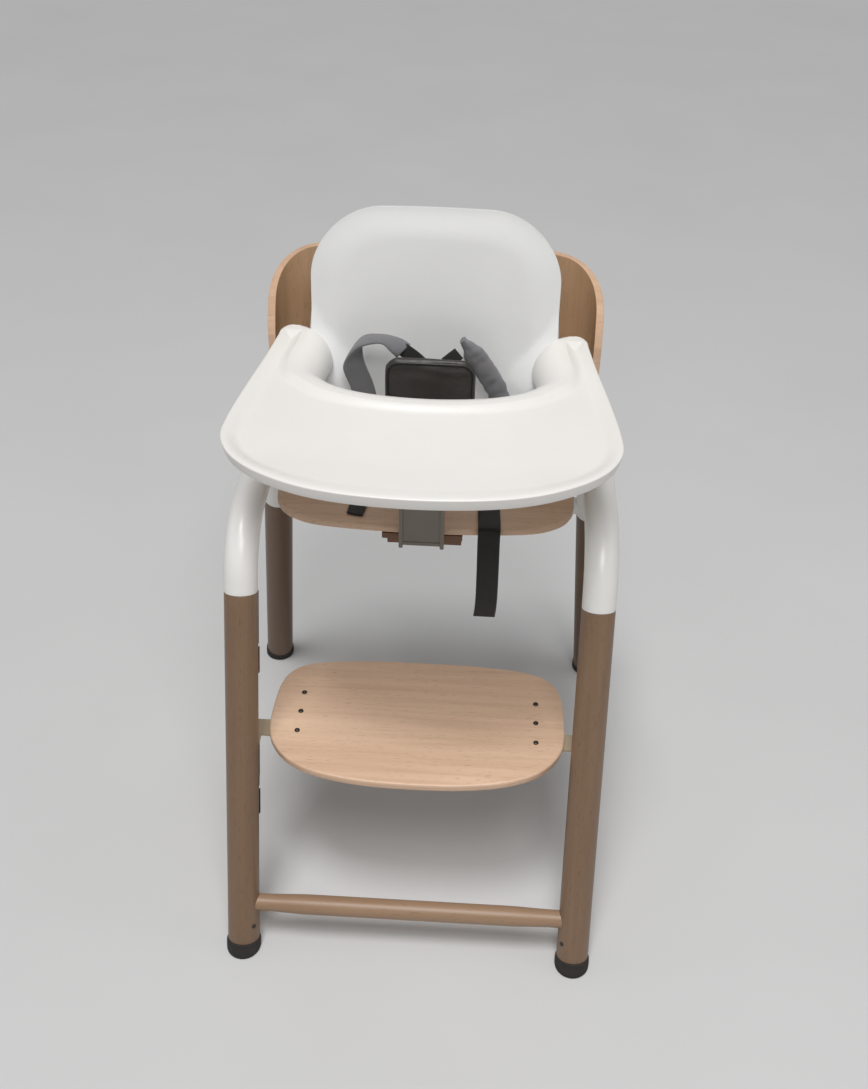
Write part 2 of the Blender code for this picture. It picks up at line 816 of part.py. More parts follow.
def baby_shell():
    """A moulded bucket: pan, low wings and a tall round-topped back."""
    stations = shell_stations()
    bm = bmesh.new()
    rows = []
    columns = 8
    for index, (y, z, half, wing) in enumerate(stations):
        before = stations[max(index - 1, 0)]
        after = stations[min(index + 1, len(stations) - 1)]
        run = Vector((0.0, after[0] - before[0], after[1] - before[1])).normalized()
        inward = Vector((0.0, -run.z, run.y))
        row = []
        for step in range(-columns, columns + 1):
            across = step / columns
            rise = max(0.0, abs(across) - 0.55) / 0.45
            point = Vector((half * across * (1 - 0.02 * rise), y, z)) + inward * wing * rise * rise
            row.append(bm.verts.new(point))
        rows.append(row)
    for first, second in zip(rows, rows[1:]):
        for index in range(len(first) - 1):
            bm.faces.new((first[index], first[index + 1], second[index + 1], second[index]))
    shell = mesh_object("baby_shell", bm)
    solid = shell.modifiers.new("wall", "SOLIDIFY")
    solid.thickness = SHELL_WALL
    solid.offset = 1.0 if faces_out(shell, 1) else -1.0
    solid.use_even_offset = True
    finish(shell, WHITE_PLASTIC)


# Tray, its post and its dock


def tray_outline():
    """Right half of the tray, from the front middle, round the horn, to the cut-out's middle."""
    return (
        (0.0, -0.2305),
        (0.045, -0.2285),
        (0.084, -0.2232),
        (0.118, -0.2140),
        (0.148, -0.2000),
        (0.174, -0.1820),
        (0.194, -0.1590),
        (0.2055, -0.1300),
        (0.2055, -0.0980),
        (0.2000, -0.0537),
        (0.1933, -0.0100),
        (0.1850, 0.0400),
        (0.1765, 0.0940),
        (0.1690, 0.1085),
        (0.1580, 0.1135),
        (0.1500, 0.1040),
        (0.1490, 0.0800),
        (0.1535, 0.0400),
        (0.1490, 0.0100),
        (0.1330, -0.0090),
        (0.1080, -0.0280),
        (0.0640, -0.0430),
        (0.0, -0.0490),
    )


def cutout_edge():
    """The cut-out's crest, from the right horn's tip round to the left one."""
    half = list(tray_outline()[16:])
    left = [(-x, y) for x, y in reversed(half[:-1])]
    return [Vector((point.x, point.y, 0.0)) for point in smooth(half + left, 3)]


def skirt():
    """The wall that slopes in and down from the cut-out's crest."""
    crest = cutout_edge()
    bm = bmesh.new()
    rows = []
    for level in range(4):
        share = level / 3
        drop = SKIRT_DROP * share
        row = []
        for index, point in enumerate(crest):
            before = crest[max(index - 1, 0)]
            after = crest[min(index + 1, len(crest) - 1)]
            along = (after - before).normalized()
            inward = Vector((along.y, -along.x, 0.0))
            if inward.dot(Vector((0.0, 0.03, 0.0)) - point) < 0:
                inward = -inward
            ends = min(index, len(crest) - 1 - index) / 5
            ends = min(1.0, ends)
            reach = -0.003 + (SKIRT_INSET + 0.003) * math.sin(math.pi / 2 * share) * (0.35 + 0.65 * ends)
            top = TRAY_RIM_Z - 0.0015
            row.append(bm.verts.new(point + inward * reach + Vector((0, 0, top - drop * (0.6 + 0.4 * ends)))))
        rows.append(row)
    for first, second in zip(rows, rows[1:]):
        for index in range(len(first) - 1):
            bm.faces.new((first[index], first[index + 1], second[index + 1], second[index]))
    wall = mesh_object("tray_skirt", bm, CUTTERS)
    solid = wall.modifiers.new("wall", "SOLIDIFY")
    solid.thickness = SKIRT_WALL
    solid.offset = 0.0
    return wall


def tray_lever_frame():
    """X along the pin, Y down from the tray's underside, Z towards the back."""
    under = TRAY_RIM_Z - TRAY_THICKNESS
    axes = Matrix(((1, 0, 0, 0), (0, 0, 1, 0), (0, -1, 0, 0), (0, 0, 0, 1)))
    return Matrix.Translation((0.0, TRAY_LEVER_Y, under)) @ axes


def tray():
    loop = mirrored_loop(tray_outline(), 2)
    under = TRAY_RIM_Z - TRAY_THICKNESS
    pan = plate("tray", loop, under, TRAY_RIM_Z, TRAY_EDGE)
    floor = TRAY_RIM_Z - TRAY_RECESS
    recess = plate("tray_recess", recess_loop(), floor, floor + 0.03, 0.0, CUTTERS)
    frame = tray_lever_frame()
    depth = KNUCKLE_RADIUS * 2 + 0.0024
    ears = lever_ears("tray", frame, 0.0, depth)
    hub = box(
        "tray_lever_hub",
        (-SLIDER_WIDTH / 2, -0.002, 0.0),
        (SLIDER_WIDTH / 2, depth, 0.004),
        frame,
        CUTTERS,
    )
    boolean(pan, recess, "DIFFERENCE", "MANIFOLD")
    join(pan, skirt(), hub, *lever_raised(ears))
    cut(pan, pin_hole("tray_pin_hole", frame, depth / 2, SLIDER_WIDTH, PIN_GAP))
    finish(pan, WARM_PLASTIC)
    release_lever("tray_lever", frame, depth / 2)


def lever_raised(ears):
    """Sink the ears' roots into the tray so that they become one moulding."""
    for ear in ears:
        for vertex in ear.data.vertices:
            if vertex.co.y <= 0.0:
                vertex.co.y = -0.002
    return ears


def recess_loop():
    """The sunk floor: the front of the tray, inside its rim and in front of the crest."""
    half = tray_outline()[:10] + (
        (0.1915, -0.0100),
        (0.1820, 0.0200),
        (0.1715, 0.0180),
        (0.1640, -0.0020),
        (0.1430, -0.0260),
        (0.1130, -0.0430),
        (0.068, -0.0560),
        (0.0, -0.0610),
    )
    return inset(mirrored_loop(half, 2), TRAY_RIM_WIDTH)


def tray_post():
    """The channel that hangs from the tray and plugs a tongue into the dock."""
    half = POST_HALF_WIDTH
    top = TRAY_RIM_Z - TRAY_THICKNESS - GAP
    front = POST_Y - POST_THICKNESS
    tongue_z = dock_slot_z()
    foot_z = tongue_z - TONGUE_THICKNESS / 2 - POST_FOOT
    post = box("tray_post", (-half, front, foot_z + 0.003), (half, POST_Y, top))
    ribs = []
    for word, side in SIDES:
        inner = side * (half - 0.004)
        outer = side * (half + 0.0005)
        low = (min(inner, outer), front - 0.0015, foot_z)
        high = (max(inner, outer), POST_Y + POST_RIB_DEPTH - 0.003, top - 0.0005)
        ribs.append(box(f"tray_post_rib_{word}", low, high, collection=CUTTERS))
    tongue = box(
        "tray_post_tongue",
        (-TONGUE_HALF_WIDTH, POST_Y - 0.001, tongue_z - TONGUE_THICKNESS / 2),
        (TONGUE_HALF_WIDTH, POST_Y + TONGUE_LENGTH, tongue_z + TONGUE_THICKNESS / 2),
        collection=CUTTERS,
    )
    join(post, *ribs, tongue)
    finish(post, GREY_PLASTIC)


def dock_top_z():
    return SEAT_TOP_Z - SEAT_THICKNESS - GAP


def dock_slot_z():
    return dock_top_z() - 0.0052


def tray_dock():
    """The block under the seat's front edge that takes the tray post's tongue."""
    top = dock_top_z()
    front = SEAT_FRONT_Y + 0.001
    back = front + DOCK_LENGTH
    wide = DOCK_HALF_WIDTH
    dock = box("tray_dock", (-wide, front, top - DOCK_HEIGHT * 0.55), (wide, back, top))
    step = box(
        "tray_dock_step",
        (-wide + DOCK_STEP, front + 0.001, top - DOCK_HEIGHT),
        (wide - 0.001, back - 0.004, top - 0.001),
        collection=CUTTERS,
    )
    slot_z = dock_slot_z()
    reach = TONGUE_HALF_WIDTH + SLIDE_GAP
    high = slot_z + TONGUE_THICKNESS / 2 + SLIDE_GAP
    low = slot_z - TONGUE_THICKNESS / 2 - SLIDE_GAP
    slot = box(
        "tray_dock_slot",
        (-reach, front - 0.01, low),
        (reach, POST_Y + TONGUE_LENGTH + 0.001, high),
        collection=CUTTERS,
    )
    join(dock, step)
    cut(dock, slot)
    finish(dock, BROWN_PLASTIC)


# Footrest


def footrest_outline():
    """Right half of the footrest, front middle first."""
    half = FOOTREST_HALF_WIDTH
    front = FOOTREST_FRONT_Y
    back = FOOTREST_BACK_Y
    return (
        (0.0, front),
        (half * 0.34, front + 0.0025),
        (half * 0.62, front + 0.0120),
        (half * 0.82, front + 0.0290),
        (half * 0.95, front + 0.0560),
        (half, front + 0.0900),
        (half * 0.985, back - 0.0560),
        (half * 0.91, back - 0.0250),
        (half * 0.74, back - 0.0090),
        (half * 0.40, back - 0.0015),
        (0.0, back),
    )


def footrest_screws():
    """Name, x and y of each screw."""
    places = []
    for word, side in SIDES:
        for index in range(3):
            y = FOOTREST_SCREW_Y + (index - 1) * FOOTREST_SCREW_PITCH
            places.append((f"footrest_screw_{word}_{index + 1}", side * FOOTREST_SCREW_X, y))
    return places


def screw_profile(grow):
    """Head and shank from the top down, each larger by grow."""
    shank = FOOTREST_THICKNESS + GAP + BRACKET_THICKNESS
    head = SCREW_HEAD_RADIUS + grow
    stem = SCREW_RADIUS + grow
    top = grow * 20
    return (
        (0.0, top),
        (head, top),
        (head, -SCREW_HEAD_HEIGHT - grow),
        (stem, -SCREW_HEAD_HEIGHT - grow),
        (stem, -shank - grow * 5),
        (0.0, -shank - grow * 5),
    )


def footrest():
    loop = mirrored_loop(footrest_outline(), 4)
    low = FOOTREST_TOP_Z - FOOTREST_THICKNESS
    board = plate("footrest_plate", loop, low, FOOTREST_TOP_Z, SEAT_EDGE)
    sink = 0.0003
    for name, x, y in footrest_screws():
        place = Matrix.Translation((x, y, FOOTREST_TOP_Z - sink))
        cut(board, turned(f"{name}_hole", screw_profile(GAP), place, 16, CUTTERS))
        finish(turned(name, screw_profile(0.0), place, 16), DARK_STEEL)
    finish(board, BEECH)


def footrest_bracket(name, side):
    """A bent steel plate: a flange on the slider's back and a leaf under the footrest."""
    frame = front_frame(side)
    face = SLIDER_BASE + SLIDER_DEPTH + GAP
    half = SLIDER_WIDTH / 2
    top = FOOTREST_TOP_Z - FOOTREST_THICKNESS - GAP
    bottom = top - BRACKET_THICKNESS
    low = along_leg(FOOTREST_SLIDER_Z[0])
    high = along_leg(top - BRACKET_THICKNESS / 3) + face * FRONT_LEAN
    flange = box(name, (-half, face, low), (half, face + BRACKET_THICKNESS, high), frame)
    edge = frame @ Vector((0.0, face + BRACKET_THICKNESS / 3, high))
    outer = side * (LEG_SPACING / 2 + half)
    inner = side * BRACKET_INNER_X
    reach = FOOTREST_SCREW_PITCH + 0.010
    tab = FOOTREST_SCREW_Y - BRACKET_TAB_FORWARD + BRACKET_TAB_WIDTH / 2
    spans = (
        ("leaf", inner, side * BRACKET_LEAF_X, FOOTREST_SCREW_Y - reach, FOOTREST_SCREW_Y + reach),
        ("tab", side * (BRACKET_LEAF_X - 0.010), outer, tab - BRACKET_TAB_WIDTH, tab),
        ("rib", outer - side * SLIDER_WIDTH, outer - side * FLUSH, edge.y, tab - FLUSH),
    )
    leaves = []
    for index, (word, one, other, front, back) in enumerate(spans):
        thinner = index * FLUSH
        low_corner = (min(one, other), front, bottom + thinner)
        high_corner = (max(one, other), back, top - thinner)
        leaves.append(box(f"{name}_{word}", low_corner, high_corner, collection=CUTTERS))
    join(flange, *leaves)
    for screw, x, y in footrest_screws():
        if x * side > 0:
            place = Matrix.Translation((x, y, FOOTREST_TOP_Z))
            cut(flange, turned(f"{name}_{screw}_hole", screw_profile(GAP), place, 16, CUTTERS))
    finish(flange, WHITE_PAINT)


# Harness


def strap(name, points, across, thickness, look, per=3):
    """A flat strap: a smooth line swept across its width and made thick."""
    line = smooth(points, per)
    spans = smooth(across, per)
    bm = bmesh.new()
    rows = []
    for point, span in zip(line, spans):
        rows.append((bm.verts.new(point - span / 2), bm.verts.new(point + span / 2)))
    for (a, b), (c, d) in zip(rows, rows[1:]):
        bm.faces.new((a, b, d, c))
    obj = mesh_object(name, bm)
    solid = obj.modifiers.new("cloth", "SOLIDIFY")
    solid.thickness = thickness
    solid.offset = 0.0
    finish(obj, look)


def hanging_strap():
    """Spare webbing that comes over the seat's front edge and hangs down in front of it."""
    x = 0.0745
    over = SEAT_TOP_Z + WEBBING_THICKNESS / 2 + GAP
    face = SEAT_FRONT_Y - WEBBING_THICKNESS / 2 - GAP
    points = (
        (x - 0.002, -0.020, over),
        (x - 0.001, -0.050, over),
        (x, face + 0.007, over + 0.0006),
        (x, face + 0.0012, over - 0.0008),
        (x, face - 0.0004, over - 0.006),
        (x, face - 0.0008, over - 0.020),
        (x + 0.0005, face - 0.0015, over - 0.060),
        (x + 0.0005, face - 0.0015, over - 0.100),
        (x - 0.0010, face, over - 0.124),
    )
    across = [(WEBBING_WIDTH, 0.0, 0.0)] * len(points)
    strap("hanging_strap", points, across, WEBBING_THICKNESS, BLACK_WEBBING, 2)


def shoulder_straps():
    left = (
        (-0.076, 0.086, 0.560),
        (-0.082, 0.082, 0.590),
        (-0.091, 0.078, 0.622),
        (-0.082, 0.076, 0.648),
        (-0.058, 0.072, 0.656),
        (-0.034, 0.066, 0.646),
        (-0.020, 0.060, 0.632),
    )
    left_across = (
        (0.026, 0.004, 0.004),
        (0.026, 0.004, 0.005),
        (0.022, 0.010, 0.008),
        (0.006, 0.024, 0.002),
        (0.002, 0.026, -0.004),
        (0.008, 0.024, 0.004),
        (0.014, 0.018, 0.008),
    )
    strap("shoulder_pad_left", left, left_across, PAD_THICKNESS, GREY_FABRIC)
    right = (
        (0.080, 0.086, 0.556),
        (0.073, 0.084, 0.588),
        (0.056, 0.080, 0.618),
        (0.036, 0.075, 0.641),
        (0.024, 0.068, 0.650),
        (0.014, 0.0609, 0.634),
    )
    right_across = (
        (0.030, 0.004, 0.006),
        (0.029, 0.006, 0.010),
        (0.024, 0.010, 0.018),
        (0.020, 0.014, 0.018),
        (0.020, 0.018, 0.010),
        (0.020, 0.016, 0.006),
    )
    strap("shoulder_pad_right", right, right_across, PAD_THICKNESS * 1.4, GREY_FABRIC)


def crotch_pad():
    """The padded flap that stands up between the legs, in front of the buckle."""
    half = CROTCH_PAD_WIDTH / 2
    thick = CROTCH_PAD_THICKNESS / 2
    pad = box(
        "crotch_pad",
        (-half, CROTCH_PAD_Y - thick, CROTCH_PAD_LOW_Z),
        (half, CROTCH_PAD_Y + thick, CROTCH_PAD_TOP_Z),
    )
    bevel = pad.modifiers.new("round", "BEVEL")
    bevel.width = thick * 0.9
    bevel.segments = 3
    finish(pad, DARK_LEATHER)


def crotch_strap():
    """The webbing that holds the pad and buckle to the shell's pan."""
    pan_z = SEAT_TOP_Z + GAP * 2 + SHELL_WALL
    x = 0.0
    points = (
        (x, 0.030, pan_z + WEBBING_THICKNESS / 2 + GAP),
        (x, 0.039, pan_z + WEBBING_THICKNESS + GAP),
        (x, CROTCH_PAD_Y + 0.001, pan_z + 0.012),
        (x, CROTCH_PAD_Y, CROTCH_PAD_LOW_Z - GAP),
    )
    across = [(WEBBING_WIDTH * 1.2, 0.0, 0.0)] * len(points)
    strap("crotch_strap", points, across, WEBBING_THICKNESS, BLACK_WEBBING, 2)


def buckle():
    """The harness buckle behind the pad, with its round push button."""
    half = BUCKLE_WIDTH / 2
    front = CROTCH_PAD_Y + CROTCH_PAD_THICKNESS / 2 + GAP
    back = front + BUCKLE_DEPTH
    middle = CROTCH_PAD_TOP_Z - 0.040
    body = box(
        "harness_buckle",
        (-half, front, middle - BUCKLE_HEIGHT / 2),
        (half, back, middle + BUCKLE_HEIGHT / 2),
    )
    start = Vector((0.0, back - 0.006, middle))
    hole = cylinder(
        "buckle_button_hole",
        start,
        (0.0, back + 0.01, middle),
        BUTTON_RADIUS + GAP,
        segments=24,
        collection=CUTTERS,
    )
    cut(body, hole)
    finish(body, BLACK_PLASTIC)
    button = cylinder(
        "buckle_button",
        start + Vector((0.0, 0.0035, 0.0)),
        (0.0, back + 0.001, middle),
        BUTTON_RADIUS,
        segments=24,
    )
    finish(button, GREY_PLASTIC)


def lap_strap():
    """A short length of webbing lying on the seat, left of the tray post."""
    over = SEAT_TOP_Z + WEBBING_THICKNESS / 2 + GAP
    points = (
        (-0.072, -0.022, over),
        (-0.0745, -0.042, over),
        (-0.077, -0.064, over + 0.001),
    )
    across = ((0.020, -0.002, 0.0), (0.020, -0.003, 0.0), (0.018, -0.004, 0.0))
    strap("lap_strap_end", points, across, WEBBING_THICKNESS, BLACK_WEBBING, 2)


def build():
    for word, side in SIDES:
        front_leg(f"front_leg_{word}", side)
        rear_leg(f"rear_leg_{word}", side)
        side_arch(f"side_arch_{word}", side)
        rail(f"rail_{word}", side)
        joint = front_point(side, FRONT_JOINT_Z)
        foot_cap(f"foot_cap_front_{word}", front_point(side, 0.0), joint)
        joint = rear_point(side, REAR_JOINT_Z)
        foot_cap(f"foot_cap_rear_{word}", rear_point(side, 0.0), joint)
        slider("seat", side, *SEAT_SLIDER_Z)
        slider("footrest", side, *FOOTREST_SLIDER_Z)
        footrest_bracket(f"footrest_bracket_{word}", side)
    front_stretcher()
    rear_crossbar()
    seat_plate()
    pan_low = seat_pan()
    for word, side in SIDES:
        seat_arm(f"seat_arm_{word}", side, pan_low)
    wood_back()
    baby_shell()
    tray()
    tray_post()
    tray_dock()
    footrest()
    crotch_pad()
    crotch_strap()
    buckle()
    shoulder_straps()
    hanging_strap()
    lap_strap()


build()
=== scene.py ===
"""Baby high chair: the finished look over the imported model, in the same frame and in metres."""

import math

import bmesh
import bpy
import numpy as np
from mathutils import Matrix, Vector, noise
from mathutils.geometry import delaunay_2d_cdt


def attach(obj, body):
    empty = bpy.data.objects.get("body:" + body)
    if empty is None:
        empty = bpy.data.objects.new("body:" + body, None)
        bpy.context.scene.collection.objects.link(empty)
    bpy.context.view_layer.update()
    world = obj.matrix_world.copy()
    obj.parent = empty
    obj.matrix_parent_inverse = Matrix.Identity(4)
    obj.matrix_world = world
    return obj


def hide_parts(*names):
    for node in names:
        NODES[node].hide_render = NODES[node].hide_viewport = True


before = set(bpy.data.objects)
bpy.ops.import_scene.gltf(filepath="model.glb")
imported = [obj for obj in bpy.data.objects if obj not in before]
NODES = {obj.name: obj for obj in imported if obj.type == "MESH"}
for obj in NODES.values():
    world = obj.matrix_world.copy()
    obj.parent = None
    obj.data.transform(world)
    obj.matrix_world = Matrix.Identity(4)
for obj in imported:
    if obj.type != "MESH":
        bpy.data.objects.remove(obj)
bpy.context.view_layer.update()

# Sizes shared with the solid model

LEG_X = 0.200
LEG_RADIUS = 0.019
FRONT_FOOT_Y = -0.271
REAR_FOOT_Y = 0.271
REAR_FOOT_X = 0.236
FRONT_LEAN = 0.3457
REAR_LEAN = 0.193
REAR_SPLAY = 0.0726
FRONT_JOINT_Z = 0.435
REAR_JOINT_Z = 0.335
ARCH_Z = 0.503
ARCH_BENDS = (0.080, 0.060)
FRONT_TILT = math.atan(FRONT_LEAN)
CROSSBAR_Z = 0.3465
STRETCHER_Z = 0.0585
CAP_RADIUS = LEG_RADIUS + 0.0017
CAP_SIDES = 56
LEG_START = 0.0085  # how far up the leg's line the wood begins, inside its cap
TENON = 0.010
PLY = 0.010
SEAT_TOP = 0.505
REST_TOP = 0.240
SCREW_X = 0.1425
SCREW_Y = -0.106
SCREW_PITCH = 0.033
SHELL_TOP = 0.7895
SHELL_HALF = 0.143
SHELL_CORNER = 0.083
SIDES = (("left", -1), ("right", 1))


# Camera

CAMERA_PLACE = (0.0652, -1.2781, 1.3795)
CAMERA_TURN = (-0.043, 0.6421, -0.0221)  # yaw, pitch down and roll, in radians
CAMERA_LENS = 44.29


def add_camera():
    """The camera stands in front of the chair and looks down at it."""
    yaw, pitch, roll = CAMERA_TURN
    ahead = Vector((math.sin(yaw) * math.cos(pitch), math.cos(yaw) * math.cos(pitch), -math.sin(pitch)))
    right = Vector((math.cos(yaw), -math.sin(yaw), 0.0))
    down = ahead.cross(right)
    across = right * math.cos(roll) + down * math.sin(roll)
    below = down * math.cos(roll) - right * math.sin(roll)
    data = bpy.data.cameras.new("camera")
    data.lens = CAMERA_LENS
    data.sensor_width = 36.0
    data.clip_start = 0.05
    data.clip_end = 50.0
    camera = bpy.data.objects.new("camera", data)
    bpy.context.scene.collection.objects.link(camera)
    turn = Matrix((across, -below, -ahead)).transposed().to_4x4()
    camera.matrix_world = Matrix.Translation(CAMERA_PLACE) @ turn
    bpy.context.scene.camera = camera


add_camera()


# Shader helpers


class Look:
    """A material with a Principled shader and short ways to add nodes to it."""

    def __init__(self, name, roughness, metallic=0.0):
        self.material = bpy.data.materials.new(name)
        self.material.use_nodes = True
        self.nodes = self.material.node_tree.nodes
        self.links = self.material.node_tree.links
        self.shader = self.nodes["Principled BSDF"]
        self.settings({"Roughness": roughness, "Metallic": metallic})
        self.height = None

    def add(self, kind, **values):
        node = self.nodes.new(kind)
        for key, value in values.items():
            if hasattr(node, key):
                setattr(node, key, value)
            else:
                node.inputs[key].default_value = value
        return node

    def join(self, start, end):
        self.links.new(start, end)

    def coords(self, scale=(1, 1, 1), turn=(0, 0, 0), source="Object"):
        """Coordinates turned back by `turn`, then stretched."""
        place = self.add("ShaderNodeTexCoord")
        size = tuple(1 / value for value in scale)
        mapping = self.add("ShaderNodeMapping", vector_type="TEXTURE", Scale=size, Rotation=turn)
        self.join(place.outputs[source], mapping.inputs["Vector"])
        return mapping.outputs["Vector"]

    def noise(self, vector, scale, detail=4.0, rough=0.5, distortion=0.0):
        values = {"Scale": scale, "Detail": detail, "Roughness": rough, "Distortion": distortion}
        node = self.add("ShaderNodeTexNoise", **values)
        self.join(vector, node.inputs["Vector"])
        return node.outputs["Fac"]

    def ramp(self, value, stops):
        node = self.add("ShaderNodeValToRGB")
        elements = node.color_ramp.elements
        while len(elements) < len(stops):
            elements.new(0.5)
        for element, (place, colour) in zip(elements, stops):
            element.position = place
            element.color = (*colour, 1.0)
        self.join(value, node.inputs["Fac"])
        return node.outputs["Color"]

    def scaled(self, value, low, high, start=0.0, end=1.0):
        limits = {"From Min": start, "From Max": end, "To Min": low, "To Max": high}
        node = self.add("ShaderNodeMapRange", **limits)
        self.join(value, node.inputs["Value"])
        return node.outputs["Result"]

    def math(self, operation, first, second):
        node = self.add("ShaderNodeMath", operation=operation)
        for index, value in enumerate((first, second)):
            if isinstance(value, (int, float)):
                node.inputs[index].default_value = value
            else:
                self.join(value, node.inputs[index])
        return node.outputs["Value"]

    def mix(self, factor, first, second):
        node = self.add("ShaderNodeMix", data_type="RGBA")
        sockets = (node.inputs["Factor"], node.inputs[6], node.inputs[7])
        for socket, value in zip(sockets, (factor, first, second)):
            if isinstance(value, (int, float)):
                socket.default_value = value
            elif isinstance(value, tuple):
                socket.default_value = (*value, 1.0)
            else:
                self.join(value, socket)
        return node.outputs[2]

    def settings(self, values):
        for socket, value in values.items():
            self.shader.inputs[socket].default_value = value

    def colour(self, value):
        self.join(value, self.shader.inputs["Base Color"])

    def gloss(self, value, low, high, start=0.3, end=0.7):
        self.join(self.scaled(value, low, high, start, end), self.shader.inputs["Roughness"])

    def bump(self, value, distance, strength=1.0):
        node = self.add("ShaderNodeBump", Strength=strength, Distance=distance)
        self.join(value, node.inputs["Height"])
        if self.height is not None:
            self.join(self.height, node.inputs["Normal"])
        self.height = node.outputs["Normal"]
        self.join(self.height, self.shader.inputs["Normal"])


def beech(name, grain, turn=(0.0, 0.0, 0.0), tone=1.0, layers=False, tint=(1.0, 1.0, 1.0)):
    """Pale steamed beech: long soft streaks, short dark flecks and a satin lacquer."""
    look = Look(name, 0.45)
    long_way = [0.045 if axis == grain else 1.0 for axis in range(3)]
    streaks = look.noise(look.coords(tuple(long_way), turn), 95.0, 5.0, 0.55, 0.5)
    broad = look.noise(look.coords(tuple(0.4 + 0.6 * value for value in long_way), turn), 9.0, 3.0, 0.5, 0.8)
    fleck_way = [0.11 if axis == grain else 1.0 for axis in range(3)]
    flecks = look.noise(look.coords(tuple(fleck_way), turn), 780.0, 2.0, 0.5)

    # tone and tint scale every colour here: the legs, stretcher and back pass low values that paint shade
    # into the wood, and the plates pass a high one that paints light
    def shade(*values):
        return tuple(min(0.82, value * tone * share) for value, share in zip(values, tint))

    light = shade(0.660, 0.445, 0.305)
    middle = shade(0.590, 0.385, 0.255)
    dark = shade(0.500, 0.312, 0.196)
    base = look.ramp(streaks, ((0.28, dark), (0.50, middle), (0.74, light)))
    wide = look.ramp(broad, ((0.30, dark), (0.70, light)))
    base = look.mix(0.38, base, wide)
    marks = look.scaled(flecks, 0.0, 0.55, 0.60, 0.72)
    base = look.mix(marks, base, shade(0.360, 0.205, 0.120))
    if layers:
        place = look.add("ShaderNodeTexCoord")
        normal = look.add("ShaderNodeSeparateXYZ")
        look.join(place.outputs["Normal"], normal.inputs["Vector"])
        upright = look.math("LESS_THAN", look.math("ABSOLUTE", normal.outputs[layers[1]], 0.0), 0.55)
        spot = look.add("ShaderNodeSeparateXYZ")
        look.join(place.outputs["Object"], spot.inputs["Vector"])
        wave = look.math("SINE", look.math("MULTIPLY", spot.outputs[layers[0]], 2 * math.pi / 0.0028), 0.0)
        bands = look.math("MULTIPLY", look.scaled(wave, 0.0, 0.38, -0.2, 0.8), upright)
        base = look.mix(bands, base, shade(0.400, 0.240, 0.145))
    look.colour(base)
    look.gloss(streaks, 0.40, 0.52, 0.0, 1.0)
    look.bump(streaks, 0.00020, 0.35)
    look.bump(flecks, 0.00012, 0.30)
    look.settings({"Coat Weight": 0.12, "Coat Roughness": 0.35})
    return look.material


def moulded(name, colour, roughness, grain=0.00003, wear=0.04, coat=0.0, subsurface=0.0):
    """Moulded plastic or paint: a fine grain, faint cloudiness and uneven gloss."""
    look = Look(name, roughness)
    vector = look.coords()
    fine = look.noise(vector, 1800.0, 2.0, 0.6)
    cloud = look.noise(vector, 14.0, 4.0, 0.55)
    rub = look.noise(vector, 60.0, 6.0, 0.65, 0.4)
    dim = tuple(value * (1 - wear) for value in colour)
    tint = look.ramp(cloud, ((0.30, dim), (0.70, colour)))
    rubbed = tuple(value * (1 - wear * 1.6) for value in colour)
    look.colour(look.mix(look.scaled(rub, 0.0, 0.5, 0.62, 0.80), tint, rubbed))
    look.gloss(rub, roughness - 0.05, roughness + 0.07)
    look.bump(fine, grain, 0.5)
    look.bump(cloud, 0.0004, 0.08)
    look.settings({"Coat Weight": coat, "Coat Roughness": 0.25, "Subsurface Weight": subsurface})
    look.settings({"Subsurface Radius": (0.010, 0.008, 0.006), "Subsurface Scale": 0.2})
    return look.material


def metal(name, colour, roughness, along=(1.0, 1.0, 0.03)):
    look = Look(name, roughness, 1.0)
    brushed = look.noise(look.coords(along), 1200.0, 3.0, 0.6)
    cloud = look.noise(look.coords(), 40.0, 4.0, 0.6)
    look.colour(look.ramp(cloud, ((0.3, tuple(value * 0.82 for value in colour)), (0.7, colour))))
    look.gloss(brushed, roughness - 0.08, roughness + 0.10)
    look.bump(brushed, 0.00003, 0.4)
    return look.material


def rubber(name, colour):
    look = Look(name, 0.78)
    vector = look.coords()
    fine = look.noise(vector, 1300.0, 3.0, 0.6)
    dust = look.noise(vector, 55.0, 6.0, 0.7, 0.6)
    grey = tuple(value * 2.6 + 0.012 for value in colour)
    look.colour(look.mix(look.scaled(dust, 0.0, 0.55, 0.50, 0.78), colour, grey))
    look.gloss(dust, 0.70, 0.90)
    look.bump(fine, 0.00006, 0.6)
    return look.material


def woven(name, light, dark, pitch, twill, roughness=0.88, sheen=0.25):
    """Cloth or webbing: two sets of threads that pass over and under, on the piece's own UV metres."""
    look = Look(name, roughness)
    vector = look.coords((1.0 / pitch, 1.0 / pitch, 1.0 / pitch), (0.0, 0.0, twill), "UV")
    split = look.add("ShaderNodeSeparateXYZ")
    look.join(vector, split.inputs["Vector"])
    first = look.math("SINE", look.math("MULTIPLY", split.outputs["X"], 2 * math.pi), 0.0)
    second = look.math("SINE", look.math("MULTIPLY", split.outputs["Y"], 2 * math.pi), 0.0)
    weave = look.math("MULTIPLY", first, second)
    fuzz = look.noise(look.coords(), 900.0, 4.0, 0.7)
    cloud = look.noise(look.coords(), 22.0, 4.0, 0.6)
    tint = look.ramp(look.scaled(weave, 0.0, 1.0, -1.0, 1.0), ((0.15, dark), (0.85, light)))
    worn = tuple(value * 1.25 + 0.01 for value in light)
    look.colour(look.mix(look.scaled(cloud, 0.0, 0.35, 0.5, 0.8), tint, worn))
    look.gloss(fuzz, roughness - 0.08, roughness + 0.06)
    look.bump(weave, pitch * 0.18, 0.7)
    look.bump(fuzz, 0.0001, 0.4)
    look.settings({"Sheen Weight": sheen, "Sheen Roughness": 0.5})
    return look.material


